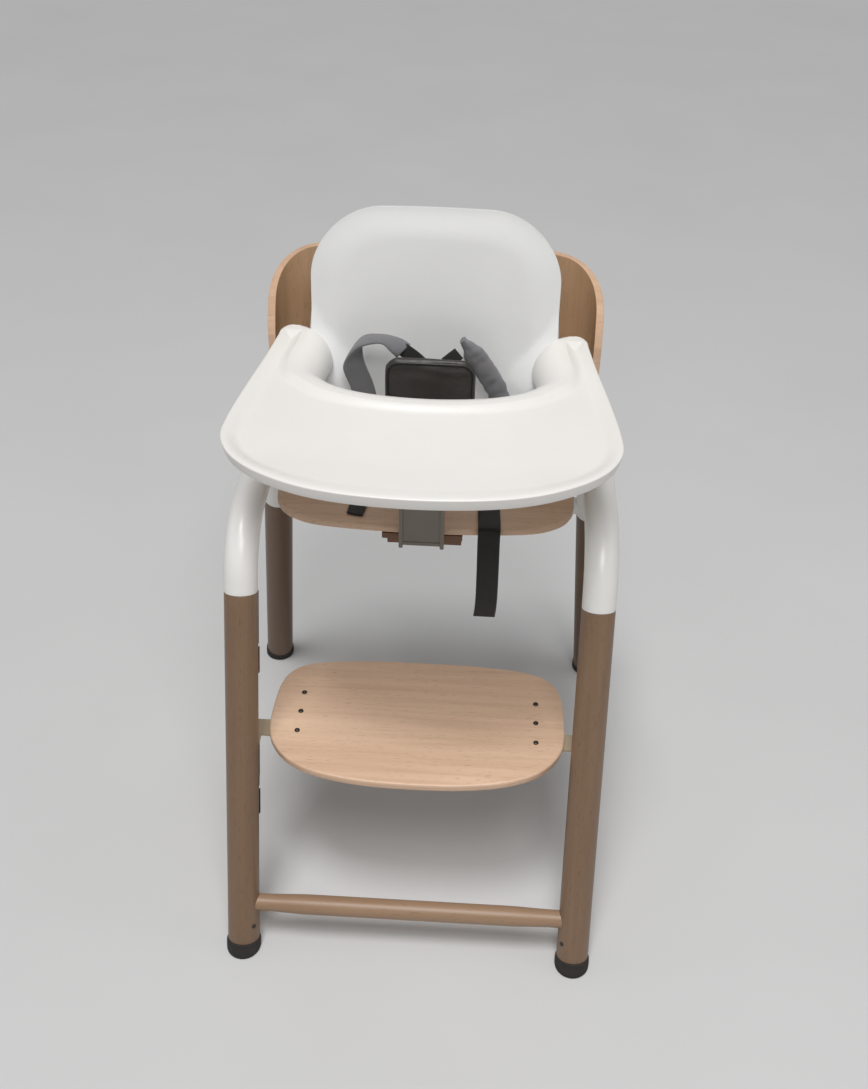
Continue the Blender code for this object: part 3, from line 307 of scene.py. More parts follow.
def leatherette(name, colour):
    """Dark coated cloth: fine pebbled grain, soft creases and a satin sheen."""
    look = Look(name, 0.42)
    vector = look.coords()
    cells = look.add("ShaderNodeTexVoronoi", feature="DISTANCE_TO_EDGE")
    cells.inputs["Scale"].default_value = 620.0
    look.join(vector, cells.inputs["Vector"])
    creases = look.noise(look.coords((1.0, 1.0, 0.5)), 75.0, 5.0, 0.6, 1.2)
    cloud = look.noise(vector, 18.0, 4.0, 0.6)
    pale = tuple(value * 1.7 + 0.004 for value in colour)
    look.colour(look.ramp(cloud, ((0.3, colour), (0.75, pale))))
    look.gloss(creases, 0.34, 0.52)
    look.bump(look.scaled(cells.outputs["Distance"], 0.0, 1.0, 0.0, 0.25), 0.00010, 0.5)
    look.bump(creases, 0.0009, 0.35)
    look.settings({"Coat Weight": 0.08, "Coat Roughness": 0.4})
    return look.material


TWILL = math.radians(45.0)
LOOKS = {
    # front legs: beech darkened to tone 0.34 as painted shade, for the shade under the tray
    "front_wood": beech("beech_front_legs_painted_shade", 2, (-FRONT_TILT, 0.0, 0.0), 0.34, tint=(1.0, 0.93, 0.82)),
    # rear legs: the same beech darker still, tone 0.255, as painted shade for the deeper shade under the seat
    "rear_wood": beech("beech_rear_legs_painted_shade", 2, (math.atan(REAR_LEAN), 0.0, 0.0), 0.255, tint=(1.0, 0.93, 0.84)),
    # stretcher: beech darkened to tone 0.54 as painted shade, for the shade low under the footrest
    "rail_wood": beech("beech_stretcher_painted_shade", 0, tone=0.54, tint=(1.0, 0.96, 0.88)),
    "ply_edge": beech("beech_edge", 0, tone=1.12),
    # seat and footrest plates: pale beech, lightened further to tone 1.18 with a paler tint as painted light,
    # for the strong light on the footrest
    "plate_wood": beech("beech_plates_painted_light", 0, tone=1.18, layers=(2, 2), tint=(1.0, 1.05, 1.10)),
    # plywood back: beech darkened to tone 0.78 as painted shade, for the shade behind the shell
    "back_wood": beech("beech_back_painted_shade", 2, tone=0.78, tint=(1.0, 0.95, 0.80)),
    "paint": moulded("off_white_paint", (0.80, 0.79, 0.76), 0.34, 0.00005, 0.03, coat=0.25),
    "shell": moulded("white_shell", (0.80, 0.80, 0.795), 0.42, 0.00003, 0.03, subsurface=0.05),
    "tray": moulded("warm_tray", (0.82, 0.80, 0.765), 0.38, 0.00002, 0.025, coat=0.08, subsurface=0.05),
    "cream": moulded("cream_bracket", (0.50, 0.41, 0.29), 0.45, 0.00005, 0.10),
    "taupe": moulded("taupe_plastic", (0.215, 0.190, 0.158), 0.50, 0.00006, 0.10),
    "brown": moulded("brown_plastic", (0.185, 0.092, 0.046), 0.50, 0.00006, 0.12),
    "black": moulded("black_plastic", (0.022, 0.022, 0.022), 0.46, 0.00006, 0.10),
    "rubber": rubber("dark_rubber", (0.020, 0.017, 0.015)),
    "aluminium": metal("drawn_aluminium", (0.62, 0.62, 0.61), 0.35),
    "steel": metal("steel", (0.48, 0.47, 0.45), 0.32, (0.05, 1.0, 1.0)),
    "dark_steel": metal("blackened_steel", (0.085, 0.078, 0.070), 0.42),
    "pad": woven("grey_weave", (0.245, 0.240, 0.248), (0.105, 0.102, 0.108), 0.0011, 0.0),
    "webbing": woven("black_webbing", (0.0105, 0.0095, 0.0085), (0.0035, 0.0030, 0.0028), 0.0019, TWILL),
    "leather": leatherette("dark_leatherette", (0.017, 0.0142, 0.0120)),
    "piping": leatherette("dark_piping", (0.014, 0.0115, 0.010)),
}


# Mesh helpers


def circle(sides):
    """The cosine and sine of each side's angle."""
    angles = [2 * math.pi * side / sides for side in range(sides)]
    return [(math.cos(angle), math.sin(angle)) for angle in angles]


def ring_faces(rings, count, closed=True):
    """Four-cornered faces between neighbouring rings of `count` points."""
    faces = []
    for first in range(rings - 1):
        for side in range(count if closed else count - 1):
            after = (side + 1) % count
            a, b = first * count, (first + 1) * count
            faces.append((a + side, a + after, b + after, b + side))
    return faces


def ease(value):
    """A soft step from 0 to 1."""
    value = min(1.0, max(0.0, value))
    return value * value * (3 - 2 * value)


def new_object(name, points, faces, look, smooth=True):
    mesh = bpy.data.meshes.new(name)
    mesh.from_pydata([tuple(point) for point in points], [], faces)
    mesh.validate()
    bm = bmesh.new()
    bm.from_mesh(mesh)
    bmesh.ops.recalc_face_normals(bm, faces=bm.faces[:])
    bm.to_mesh(mesh)
    bm.free()
    for polygon in mesh.polygons:
        polygon.use_smooth = smooth
    obj = bpy.data.objects.new(name, mesh)
    bpy.context.scene.collection.objects.link(obj)
    mesh.materials.append(LOOKS[look])
    return obj


def add_bevel(obj, width, segments=3, angle=35.0):
    bevel = obj.modifiers.new("edges", "BEVEL")
    bevel.width = width
    bevel.segments = segments
    bevel.limit_method = "ANGLE"
    bevel.angle_limit = math.radians(angle)
    bevel.harden_normals = False
    weigh = obj.modifiers.new("normals", "WEIGHTED_NORMAL")
    weigh.keep_sharp = False
    weigh.weight = 80
    return obj


def add_wall(obj, name, thickness, offset):
    solid = obj.modifiers.new(name, "SOLIDIFY")
    solid.thickness = thickness
    solid.offset = offset
    return solid


def weigh_normals(obj, weight):
    obj.modifiers.new("normals", "WEIGHTED_NORMAL").weight = weight


def add_subdivision(obj, levels):
    subdivision = obj.modifiers.new("smooth", "SUBSURF")
    subdivision.levels = levels
    subdivision.render_levels = levels
    return obj


def finish_piece(obj, body, slot, *nodes):
    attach(obj, body)
    if nodes:
        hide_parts(*nodes)
    return obj


def smooth_line(points, per, closed=False):
    """A Catmull-Rom line through the points, with `per` steps to each stretch."""
    points = [Vector(point) for point in points]
    count = len(points)
    line = []
    for index in range(count if closed else count - 1):
        places = [index + shift for shift in (-1, 0, 1, 2)]
        a, b, c, d = [points[place % count if closed else min(max(place, 0), count - 1)] for place in places]
        for step in range(per):
            t = step / per
            line.append(
                b
                + (c - a) * 0.5 * t
                + (a * 2 - b * 5 + c * 4 - d) * 0.5 * t * t
                + (b * 3 - a - c * 3 + d) * 0.5 * t * t * t
            )
    if not closed:
        line.append(points[-1])
    return line


def fillet(corners, radii, steps):
    """A line through corners, each inner one rounded to its radius."""
    points = [Vector(corners[0])]
    for before, corner, after, radius in zip(corners, corners[1:], corners[2:], radii):
        corner = Vector(corner)
        back = (Vector(before) - corner).normalized()
        ahead = (Vector(after) - corner).normalized()
        half = back.angle(ahead) / 2
        centre = corner + (back + ahead).normalized() * radius / math.sin(half)
        first = (corner + back * radius / math.tan(half) - centre).normalized()
        last = (corner + ahead * radius / math.tan(half) - centre).normalized()
        for step in range(steps + 1):
            points.append(centre + first.slerp(last, step / steps) * radius)
    points.append(Vector(corners[-1]))
    return points


def spaced(line, step):
    """The line with extra points, so that no stretch is longer than step."""
    points = [line[0]]
    for start, end in zip(line, line[1:]):
        count = max(1, math.ceil((end - start).length / step))
        points += [start.lerp(end, index / count) for index in range(1, count + 1)]
    return points


def rounded(distance, radius):
    """How far a round corner stands back, at a distance from its end."""
    if distance >= radius:
        return 0.0
    return radius - math.sqrt(max(0.0, radius * radius - (radius - distance) ** 2))


def loft(name, rings, look, closed_ends=True, closed_rings=True):
    """Faces between rings of points, all with the same count."""
    count = len(rings[0])
    points = [point for ring in rings for point in ring]
    faces = ring_faces(len(rings), count, closed_rings)
    if closed_ends:
        faces.append(tuple(range(count)))
        faces.append(tuple(range((len(rings) - 1) * count, len(rings) * count)))
    return new_object(name, points, faces, look)


def heading(line, index):
    """The direction of an open line at one of its points."""
    return (line[min(index + 1, len(line) - 1)] - line[max(index - 1, 0)]).normalized()


def lay_uv(obj, spot):
    """Gives each corner the place in the cloth, in metres, that spot returns for its vertex."""
    uv = obj.data.uv_layers.new(name="UVMap")
    for polygon in obj.data.polygons:
        for loop_index, vertex in zip(polygon.loop_indices, polygon.vertices):
            uv.data[loop_index].uv = spot(vertex)


def line_lengths(line):
    lengths = [0.0]
    for start, end in zip(line, line[1:]):
        lengths.append(lengths[-1] + (end - start).length)
    return lengths


def sweep(name, line, radius, look, sides=48, ends=0.0006, closed=False):
    """A round bar along a line, its ends rounded. radius may be a function of the share of its length."""
    size = radius if callable(radius) else (lambda share: radius)
    if not closed:
        steps = 4
        near = [ends * (1 - math.cos(math.pi / 2 * step / steps)) for step in range(steps + 1)]
        first = (line[1] - line[0]).normalized()
        final = (line[-2] - line[-1]).normalized()
        begin = [line[0] + first * d for d in near]
        line = begin + line[1:-1] + [line[-1] + final * d for d in reversed(near)]
    lengths = line_lengths(line)
    total = lengths[-1]
    along = (line[1] - line[0]).normalized()
    across = along.orthogonal().normalized()
    rings = []
    last = len(line) - 1
    for index, (point, length) in enumerate(zip(line, lengths)):
        if closed:
            ahead = (line[(index + 1) % (last + 1)] - line[index - 1]).normalized()
        else:
            ahead = heading(line, index)
        across = along.rotation_difference(ahead) @ across
        across = (across - ahead * across.dot(ahead)).normalized()
        along = ahead
        up = along.cross(across)
        here = size(length / total)
        if not closed:
            here -= rounded(min(length, total - length), ends)
        rings.append([point + across * here * cosine + up * here * sine for cosine, sine in circle(sides)])
    if closed:
        rings.append(rings[0])
    return loft(name, rings, look, closed_ends=not closed)


def inset(loop, distance):
    """The loop moved inward, for a loop that runs anticlockwise in plan."""
    moved = []
    for before, here, after in zip(loop[-1:] + loop[:-1], loop, loop[1:] + loop[:1]):
        along = (Vector(after) - Vector(before)).normalized()
        moved.append(Vector((here[0] - along.y * distance, here[1] + along.x * distance)))
    return moved


def mirrored_loop(half, per):
    """A smooth closed outline from its right half, listed from front middle to back middle."""
    left = [(-x, y) for x, y in reversed(half[1:-1])]
    return smooth_line(list(half) + left, per, closed=True)


def plate(name, loop, low, high, edge, look):
    """A flat plate with rounded edges."""
    profile = [(edge * 2.2, low), (edge, low)]
    steps = 5
    for step in range(1, steps + 1):
        angle = math.pi / 2 * step / steps
        profile.append((edge * (1 - math.sin(angle)), low + edge * (1 - math.cos(angle))))
    for step in range(steps):
        angle = math.pi / 2 * step / steps
        profile.append((edge * (1 - math.cos(angle)), high - edge + edge * math.sin(angle)))
    profile += [(edge, high), (edge * 2.2, high)]
    rings = [[(x, y, z) for x, y in inset(loop, distance)] for distance, z in profile]
    obj = loft(name, rings, look)
    weigh_normals(obj, 90)
    return obj


def boxes(name, corners, look, edge=0.0008, segments=3):
    """Several bevelled boxes as one piece, each from its low and high corner."""
    points = []
    faces = []
    for low, high in corners:
        base = len(points)
        for z in (low[2], high[2]):
            points += [(low[0], low[1], z), (high[0], low[1], z), (high[0], high[1], z), (low[0], high[1], z)]
        for face in ((0, 1, 2, 3), (4, 5, 6, 7), (0, 1, 5, 4), (1, 2, 6, 5), (2, 3, 7, 6), (3, 0, 4, 7)):
            faces.append(tuple(base + index for index in face))
    return add_bevel(new_object(name, points, faces, look), edge, segments)


def turned(name, profile, frame_matrix, look, sides=40):
    """A piece turned round the Z axis of its frame, from (radius, height) pairs."""
    rings = []
    for radius, height in profile:
        rings.append([frame_matrix @ Vector((radius * c, radius * s, height)) for c, s in circle(sides)])
    return loft(name, rings, look)


def ribbon(name, points, across, thickness, look, per=8, columns=8, edge=0.5, crown=0.0):
    """A strap along a smooth line: rounded sides, its own UV in metres, a crown if it is padded."""
    line = smooth_line(points, per)
    spans = smooth_line(across, per)
    lengths = line_lengths(line)
    total = lengths[-1]
    rings = []
    for index, (point, span) in enumerate(zip(line, spans)):
        ahead = heading(line, index)
        span_unit = span.normalized()
        face = span_unit.cross(ahead).normalized()
        end = min(lengths[index], total - lengths[index])
        thin = thickness / 2 - rounded(end, thickness / 2) * 0.9
        ring = []
        for side in (1, -1):
            for column in range(columns + 1):
                share = column / columns * 2 - 1
                rim = (1 - abs(share) ** 6) ** 0.5 if crown == 0.0 else (1 - abs(share) ** 2.4) ** 0.5
                height = thin * (edge + (1 - edge) * rim) + crown * (1 - share * share)
                if crown and abs(share) == 1:
                    height = thin * 0.4
                ring.append(point + span * (share / 2 * side) + face * height * side)
        rings.append(ring)
    obj = loft(name, rings, look)
    width = columns + 1

    def spot(vertex):
        ring, place = divmod(vertex, width * 2)
        column = place if place < width else width * 2 - 1 - place
        return lengths[ring], spans[ring].length * (column / columns - 0.5)

    lay_uv(obj, spot)
    return obj


# Frame


def front_point(side, z):
    return Vector((side * LEG_X, FRONT_FOOT_Y + FRONT_LEAN * z, z))


def rear_point(side, z):
    return Vector((side * (REAR_FOOT_X - REAR_SPLAY * z), REAR_FOOT_Y - REAR_LEAN * z, z))


def toward(start, end, distance):
    return start + (end - start).normalized() * distance


def foot_cap(name, foot, top):
    """A rubber cup with a rolled lip, cut level with the floor and softened round its edge."""
    axis = (top - foot).normalized()
    across = axis.cross(Vector((0, 1, 0))).normalized()
    up = axis.cross(across)
    levels = (
        (0.0022, 0.0, None),
        (0.0008, 0.0003, None),
        (0.0001, 0.0012, None),
        (0.0, 0.0026, None),
        (0.0, None, 0.0080),
        (0.0004, None, 0.0092),
        (0.0001, None, 0.0102),
        (0.0002, None, 0.0116),
        (0.0008, None, 0.0127),
        (0.0016, None, 0.0130),
        (0.0017, None, 0.0110),
    )
    rings = []
    for back, height, reach in levels:
        ring = []
        for cosine, sine in circle(CAP_SIDES):
            spoke = foot + (across * cosine + up * sine) * (CAP_RADIUS - back)
            along = reach if height is None else (height - spoke.z) / axis.z
            ring.append(spoke + axis * along)
        rings.append(ring)
    return loft(name, rings, "rubber")


def build_frame():
    for word, side in SIDES:
        foot = front_point(side, 0.0)
        top = front_point(side, FRONT_JOINT_Z)
        rear_foot = rear_point(side, 0.0)
        rear_top = rear_point(side, REAR_JOINT_Z)
        for place, low, high in (("front", foot, top), ("rear", rear_foot, rear_top)):
            line = spaced([toward(low, high, LEG_START), high], 0.02)
            leg = sweep(f"turned_{place}_leg_{word}", line, LEG_RADIUS, f"{place}_wood")
            finish_piece(leg, "frame", "beech", f"{place}_leg_{word}")
        start = toward(top, foot, -0.0003)
        end = toward(rear_top, rear_foot, -0.0003)
        corners = (start, front_point(side, ARCH_Z), rear_point(side, ARCH_Z), end)
        line = spaced(fillet(corners, ARCH_BENDS, 36), 0.012)
        arch = sweep(f"painted_arch_{word}", line, LEG_RADIUS, "paint", sides=64)
        finish_piece(arch, "frame", "white_paint", f"side_arch_{word}")
        for place, low, high in (("front", foot, top), ("rear", rear_foot, rear_top)):
            cap = foot_cap(f"{place}_boot_{word}", low, high)
            finish_piece(cap, "frame", "rubber", f"foot_cap_{place}_{word}")
    middle = front_point(1, STRETCHER_Z)
    half = LEG_X - LEG_RADIUS + TENON
    line = spaced([Vector((-half, middle.y, middle.z)), Vector((half, middle.y, middle.z))], 0.004)

    def waist(share):
        from_end = half - abs(share - 0.5) * 2 * half
        return 0.0105 + 0.0015 * ease((from_end - 0.018) / 0.055)

    bar = sweep("turned_stretcher", line, waist, "rail_wood")
    finish_piece(bar, "frame", "beech", "front_stretcher")
    middle = rear_point(1, CROSSBAR_Z)
    half = middle.x - LEG_RADIUS + TENON
    line = spaced([Vector((-half, middle.y, middle.z)), Vector((half, middle.y, middle.z))], 0.02)
    bar = sweep("painted_crossbar", line, 0.0115, "paint")
    finish_piece(bar, "frame", "white_paint", "rear_crossbar")


# Seat and footrest plates


def plate_loop(half, front, back, ahead, behind):
    """A plate's outline: shares of its half width, with steps back from its front and on from its back."""
    outline = [(0.0, front)]
    outline += [(half * share, front + step) for share, step in ahead]
    outline += [(half * share, back - step) for share, step in behind]
    return mirrored_loop(outline + [(0.0, back)], 14)


def seat_loop():
    ahead = ((0.62, 0.0055), (0.86, 0.0180), (0.975, 0.0400), (1.0, 0.0720))
    behind = ((1.0, 0.0600), (0.93, 0.0200), (0.80, 0.0040))
    return plate_loop(0.170, -0.0795, 0.135, ahead, behind)


def footrest_loop():
    ahead = ((0.34, 0.0025), (0.62, 0.0120), (0.82, 0.0290), (0.95, 0.0560), (1.0, 0.0900))
    behind = ((0.985, 0.0560), (0.91, 0.0250), (0.74, 0.0090), (0.40, 0.0015))
    return plate_loop(0.177, -0.2165, -0.0065, ahead, behind)


def screw_head(name, x, y, top):
    """A domed screw head with a hexagonal socket."""
    outer = 0.0032
    socket = 0.0015
    sides = 36
    levels = (
        (outer, top + 0.0001),
        (outer, top + 0.0007),
        (outer * 0.93, top + 0.0012),
        (outer * 0.78, top + 0.0016),
        (outer * 0.62, top + 0.0018),
    )
    rings = []
    for radius, z in levels:
        rings.append([(x + radius * cosine, y + radius * sine, z) for cosine, sine in circle(sides)])
    for scale, z in ((1.0, top + 0.0018), (0.94, top + 0.0016), (0.92, top + 0.0004)):
        ring = []
        for side, (cosine, sine) in enumerate(circle(sides)):
            turn = (2 * math.pi * side / sides + math.pi / 6) % (math.pi / 3) - math.pi / 6
            radius = socket * scale / math.cos(turn)
            ring.append((x + radius * cosine, y + radius * sine, z))
        rings.append(ring)
    return loft(name, rings, "dark_steel")


def build_plates():
    seat = plate("laminated_seat", seat_loop(), SEAT_TOP - PLY, SEAT_TOP, 0.003, "plate_wood")
    finish_piece(seat, "seat_unit", "beech", "seat_plate")
    rest = plate("laminated_footrest", footrest_loop(), REST_TOP - PLY, REST_TOP, 0.0028, "plate_wood")
    finish_piece(rest, "footrest_unit", "beech", "footrest_plate")
    for word, side in SIDES:
        for index in range(3):
            y = SCREW_Y + (index - 1) * SCREW_PITCH
            node = f"footrest_screw_{word}_{index + 1}"
            head = screw_head(f"socket_{node}", side * SCREW_X, y, REST_TOP)
            finish_piece(head, "footrest_unit", "dark_steel", node)


# Plywood back


def build_wood_back():
    half, front_y, back_y, corner = 0.1955, 0.118, 0.175, 0.045
    low_z, top_z, ply = 0.545, 0.726, 0.009
    corners = ((-half, front_y, 0.0), (-half, back_y, 0.0), (half, back_y, 0.0), (half, front_y, 0.0))
    line = spaced(fillet(corners, (corner, corner), 24), 0.004)
    lengths = line_lengths(line)
    total = lengths[-1]
    rows = 24
    points = []
    for point, length in zip(line, lengths):
        end = min(length, total - length) + 0.003
        high = top_z - rounded(end, 0.120)
        low = low_z + rounded(end, 0.035)
        for row in range(rows + 1):
            points.append((point.x, point.y, low + (high - low) * row / rows))
    faces = []
    for column in range(len(line) - 1):
        for row in range(rows):
            a = column * (rows + 1) + row
            faces.append((a, a + rows + 1, a + rows + 2, a + 1))
    back = new_object("bent_plywood_back", points, faces, "back_wood")
    middle = min(back.data.polygons, key=lambda face: abs(face.center.x))
    solid = add_wall(back, "ply", ply, -1.0 if middle.normal.y > 0 else 1.0)
    solid.use_even_offset = True
    add_bevel(back, 0.0012, 3, 50.0)
    finish_piece(back, "seat_unit", "beech", "wood_back")
    back.data.materials.append(LOOKS["ply_edge"])
    solid.material_offset_rim = 1


# Baby shell


def shell_rows():
    """The shell's middle line, front of the pan to the top: y, z, half width, wing reach, crease."""
    pan_z, low_y, bend, half, top_z = 0.5093, 0.104, 0.050, SHELL_HALF, SHELL_TOP
    rows = []
    for step in range(10):
        share = step / 10
        y = -0.010 + (low_y - bend + 0.010) * share
        wing = 0.072 * math.sin(math.pi / 2 * (0.30 + 0.70 * share))
        rows.append((y, pan_z, half - 0.014 * (1 - share) ** 2, wing, 0.60))
    for step in range(14):
        angle = math.pi / 2 * step / 13
        y = low_y - bend + bend * math.sin(angle)
        z = pan_z + bend - bend * math.cos(angle)
        rows.append((y, z, half, 0.072 * (1.0 - 0.50 * step / 13), 0.60))
    base = pan_z + bend
    height = top_z - base
    count = 52
    for step in range(1, count + 1):
        share = math.sin(math.pi / 2 * step / count)
        z = base + height * share
        rise = min(1.0, max(0.0, (z - 0.585) / 0.085))
        crease = 0.60 + 0.34 * ease(rise)
        wing = 0.040 * (1 - rise) ** 1.2
        rows.append((low_y + 0.100 * (z - base), z, half - rounded(top_z - z, SHELL_CORNER), wing, crease))
    return rows


def build_shell():
    rows = shell_rows()
    columns = 40
    points = []
    for index, (y, z, half, wing, crease) in enumerate(rows):
        before = rows[max(index - 1, 0)]
        after = rows[min(index + 1, len(rows) - 1)]
        run = Vector((0.0, after[0] - before[0], after[1] - before[1])).normalized()
        inward = Vector((0.0, -run.z, run.y))
        for step in range(-columns, columns + 1):
            across = math.sin(step / columns * 1.25) / math.sin(1.25)
            past = (abs(across) - crease) / (1 - crease)
            soft = 0.06
            rise = (past + math.sqrt(past * past + soft * soft)) / 2 / ((1 + math.sqrt(1 + soft * soft)) / 2)
            x = half * across
            beside = half - abs(x)
            above = SHELL_TOP - rounded(SHELL_HALF - abs(x), SHELL_CORNER) - z
            from_edge = beside * above / max(1e-6, math.hypot(beside, above)) if above > 0 else 0.0
            lip = -0.0060 * (1 - ease(from_edge / 0.034)) * ease((z - 0.555) / 0.09)
            crown = 0.0035 * (x / 0.12) ** 2 * ease((z - 0.66) / 0.12)
            points.append(Vector((x, y, z - crown)) + inward * (wing * rise + lip))
    width = 2 * columns + 1
    faces = ring_faces(len(rows), width, closed=False)
    shell = new_object("moulded_shell", points, faces, "shell")
    middle = min(shell.data.polygons, key=lambda face: abs(face.center.x) + abs(face.center.z - 0.7))
    solid = add_wall(shell, "wall", 0.004, 1.0 if middle.normal.y > 0 else -1.0)
    solid.use_even_offset = True
    add_bevel(shell, 0.0018, 4, 50.0)
    finish_piece(shell, "seat_unit", "white_plastic", "baby_shell")


# Tray

TRAY_HALF = (
    (0.0, -0.2305),
    (0.045, -0.2285),
    (0.084, -0.2232),
    (0.118, -0.2140),
    (0.148, -0.2000),
    (0.174, -0.1820),
    (0.194, -0.1590),
    (0.2055, -0.1300),
    (0.2055, -0.0980),
    (0.2000, -0.0537),
    (0.1933, -0.0100),
    (0.1850, 0.0400),
    (0.1785, 0.0880),
    (0.1765, 0.1035),
    (0.1682, 0.1143),
    (0.1556, 0.1146),
    (0.1484, 0.1040),
    (0.1486, 0.0800),
    (0.1535, 0.0400),
    (0.1490, 0.0100),
    (0.1330, -0.0090),
    (0.1080, -0.0280),
    (0.0640, -0.0430),
    (0.0, -0.0490),
)
TRAY_TOP = 0.648
TRAY_FLOOR = 0.642
OUTER_DROP = 0.0005  # how far the outer edge stands below the rim


def distances(points, line):
    """The distance in plan from each point to a line."""
    here = np.array([(point[0], point[1]) for point in points])
    start = np.array([(point[0], point[1]) for point in line[:-1]])
    run = np.array([(point[0], point[1]) for point in line[1:]]) - start
    best = np.full(len(here), 1e9)
    for first, step in zip(start, run):
        share = np.clip(((here - first) @ step) / max(step @ step, 1e-12), 0.0, 1.0)
        gap = np.linalg.norm(here - first - share[:, None] * step, axis=1)
        best = np.minimum(best, gap)
    return best


def encloses(loop, point):
    """Whether a closed loop runs round a point in plan."""
    crossings = 0
    for start, end in zip(loop, loop[1:] + loop[:1]):
        if (start.y > point.y) != (end.y > point.y):
            if point.x < start.x + (point.y - start.y) / (end.y - start.y) * (end.x - start.x):
                crossings += 1
    return crossings % 2 == 1


def inner_roll(inner):
    """How far the top rolls down at the cut-out's edge."""
    return 0.0016 * (1.0 - ease(inner / 0.0035))


def tray_height(outer, inner, y):
    """The height of the tray's top face: a thin rim, a soft slope, a floor, a ridge at the cut-out."""
    floor = TRAY_FLOOR + 0.0046 * ease((-0.150 - y) / 0.075)
    rim = 1.0 - ease((outer - 0.0045) / 0.0145)
    ridge = 1.0 - ease((inner - 0.0035) / 0.0135)
    edge = inner_roll(inner)
    return floor + (TRAY_TOP - floor) * max(rim * 0.92, ridge) - edge


def build_tray():
    per = 10
    loop = mirrored_loop(TRAY_HALF, per)
    count = len(loop)
    horn = 14 * per + per // 2
    outer_line = loop[count - horn:] + loop[: horn + 1]
    inner_line = loop[horn: count - horn + 1]
    edge = 0.0018
    profile = [(0.0080, TRAY_TOP - 0.0150), (0.0042, TRAY_TOP - 0.0150), (0.0030, TRAY_TOP - 0.0143)]
    profile += [(0.0014, TRAY_TOP - 0.0085), (0.0, TRAY_TOP - edge)]
    steps = 5
    for step in range(1, steps + 1):
        angle = math.pi / 2 * step / steps
        profile.append((edge * (1 - math.cos(angle)), TRAY_TOP - edge + edge * math.sin(angle)))
    rings = [[Vector((x, y, z)) for x, y in inset(loop, distance)] for distance, z in profile]
    for distance in (0.0032, 0.0041, 0.0052):
        rings.append([Vector((x, y, 0.0)) for x, y in inset(loop, distance)])
    boundary = [Vector((point.x, point.y)) for point in rings[-1]]
    pitch = 0.0026
    grid = []
    for row in range(140):
        for column in range(170):
            x = -0.2195 + column * pitch + (row % 2) * pitch / 2
            grid.append(Vector((x, -0.236 + row * pitch * 0.9)))
    to_edge = distances(grid, boundary + boundary[:1])
    inside = []
    for point, gap in zip(grid, to_edge):
        if gap < pitch * 0.55:
            continue
        if encloses(boundary, point):
            inside.append(point)
    edges = [(index, (index + 1) % count) for index in range(count)]
    found = delaunay_2d_cdt(boundary + inside, edges, [], 1, 1e-7)
    flat, triangles = found[0], found[2]
    points = [point for ring in rings for point in ring]
    faces = ring_faces(len(rings), count)
    base = len(points) - count
    index_of = {}
    for index, point in enumerate(flat):
        origins = [origin for origin in found[3][index] if origin < count]
        if origins:
            index_of[index] = base + origins[0]
        else:
            index_of[index] = len(points)
            points.append(Vector((point.x, point.y, 0.0)))
    for triangle in triangles:
        faces.append(tuple(index_of[index] for index in triangle))
    faces.append(tuple(range(count)))
    top_start = (len(profile)) * count
    top_points = points[top_start:]
    outer = distances(top_points, outer_line)
    inner = distances(top_points, inner_line)
    for point, first, second in zip(top_points, outer, inner):
        point.z = tray_height(first, second, point.y)
    for ring in range(5, len(profile)):
        ring_points = points[ring * count: (ring + 1) * count]
        outer = distances(ring_points, outer_line)
        inner = distances(ring_points, inner_line)
        for point, first, second in zip(ring_points, outer, inner):
            point.z -= inner_roll(second) if second < first else OUTER_DROP
    tray = new_object("moulded_tray", points, faces, "tray")
    weigh_normals(tray, 60)
    finish_piece(tray, "tray_unit", "warm_plastic", "tray")
    build_skirt()


def build_skirt():
    half = list(TRAY_HALF[15:])
    left = [(-x, y) for x, y in reversed(half[:-1])]
    crest = smooth_line(half + left, 12)
    crest = [Vector((point.x, point.y, 0.0)) for point in crest]
    levels = 12
    rings = []
    last = len(crest) - 1
    for index, point in enumerate(crest):
        along = heading(crest, index)
        inward = Vector((along.y, -along.x, 0.0))
        if inward.dot(Vector((0.0, 0.03, 0.0)) - point) < 0:
            inward = -inward
        ends = ease((min(index, last - index) + 1.5) / 22)
        ring = []
        for level in range(levels + 1):
            angle = math.pi / 2 * level / levels
            reach = -0.0030 + (0.0036 + 0.0304 * ends) * math.sin(angle)
            drop = 0.0014 + (0.0120 + 0.0230 * ends) * (1 - math.cos(angle))
            ring.append(point + inward * reach + Vector((0, 0, TRAY_TOP - drop)))
        rings.append(ring)
    skirt = loft("tray_skirt", rings, "tray", closed_ends=False, closed_rings=False)
    add_wall(skirt, "wall", 0.0026, 0.0)
    add_bevel(skirt, 0.0009, 2, 50.0)
    finish_piece(skirt, "tray_unit", "warm_plastic", "tray")


POST_HALF = 0.0245
POST_BACK = -0.0895
TONGUE_LOW = 0.4875
DOCK_HALF = 0.045


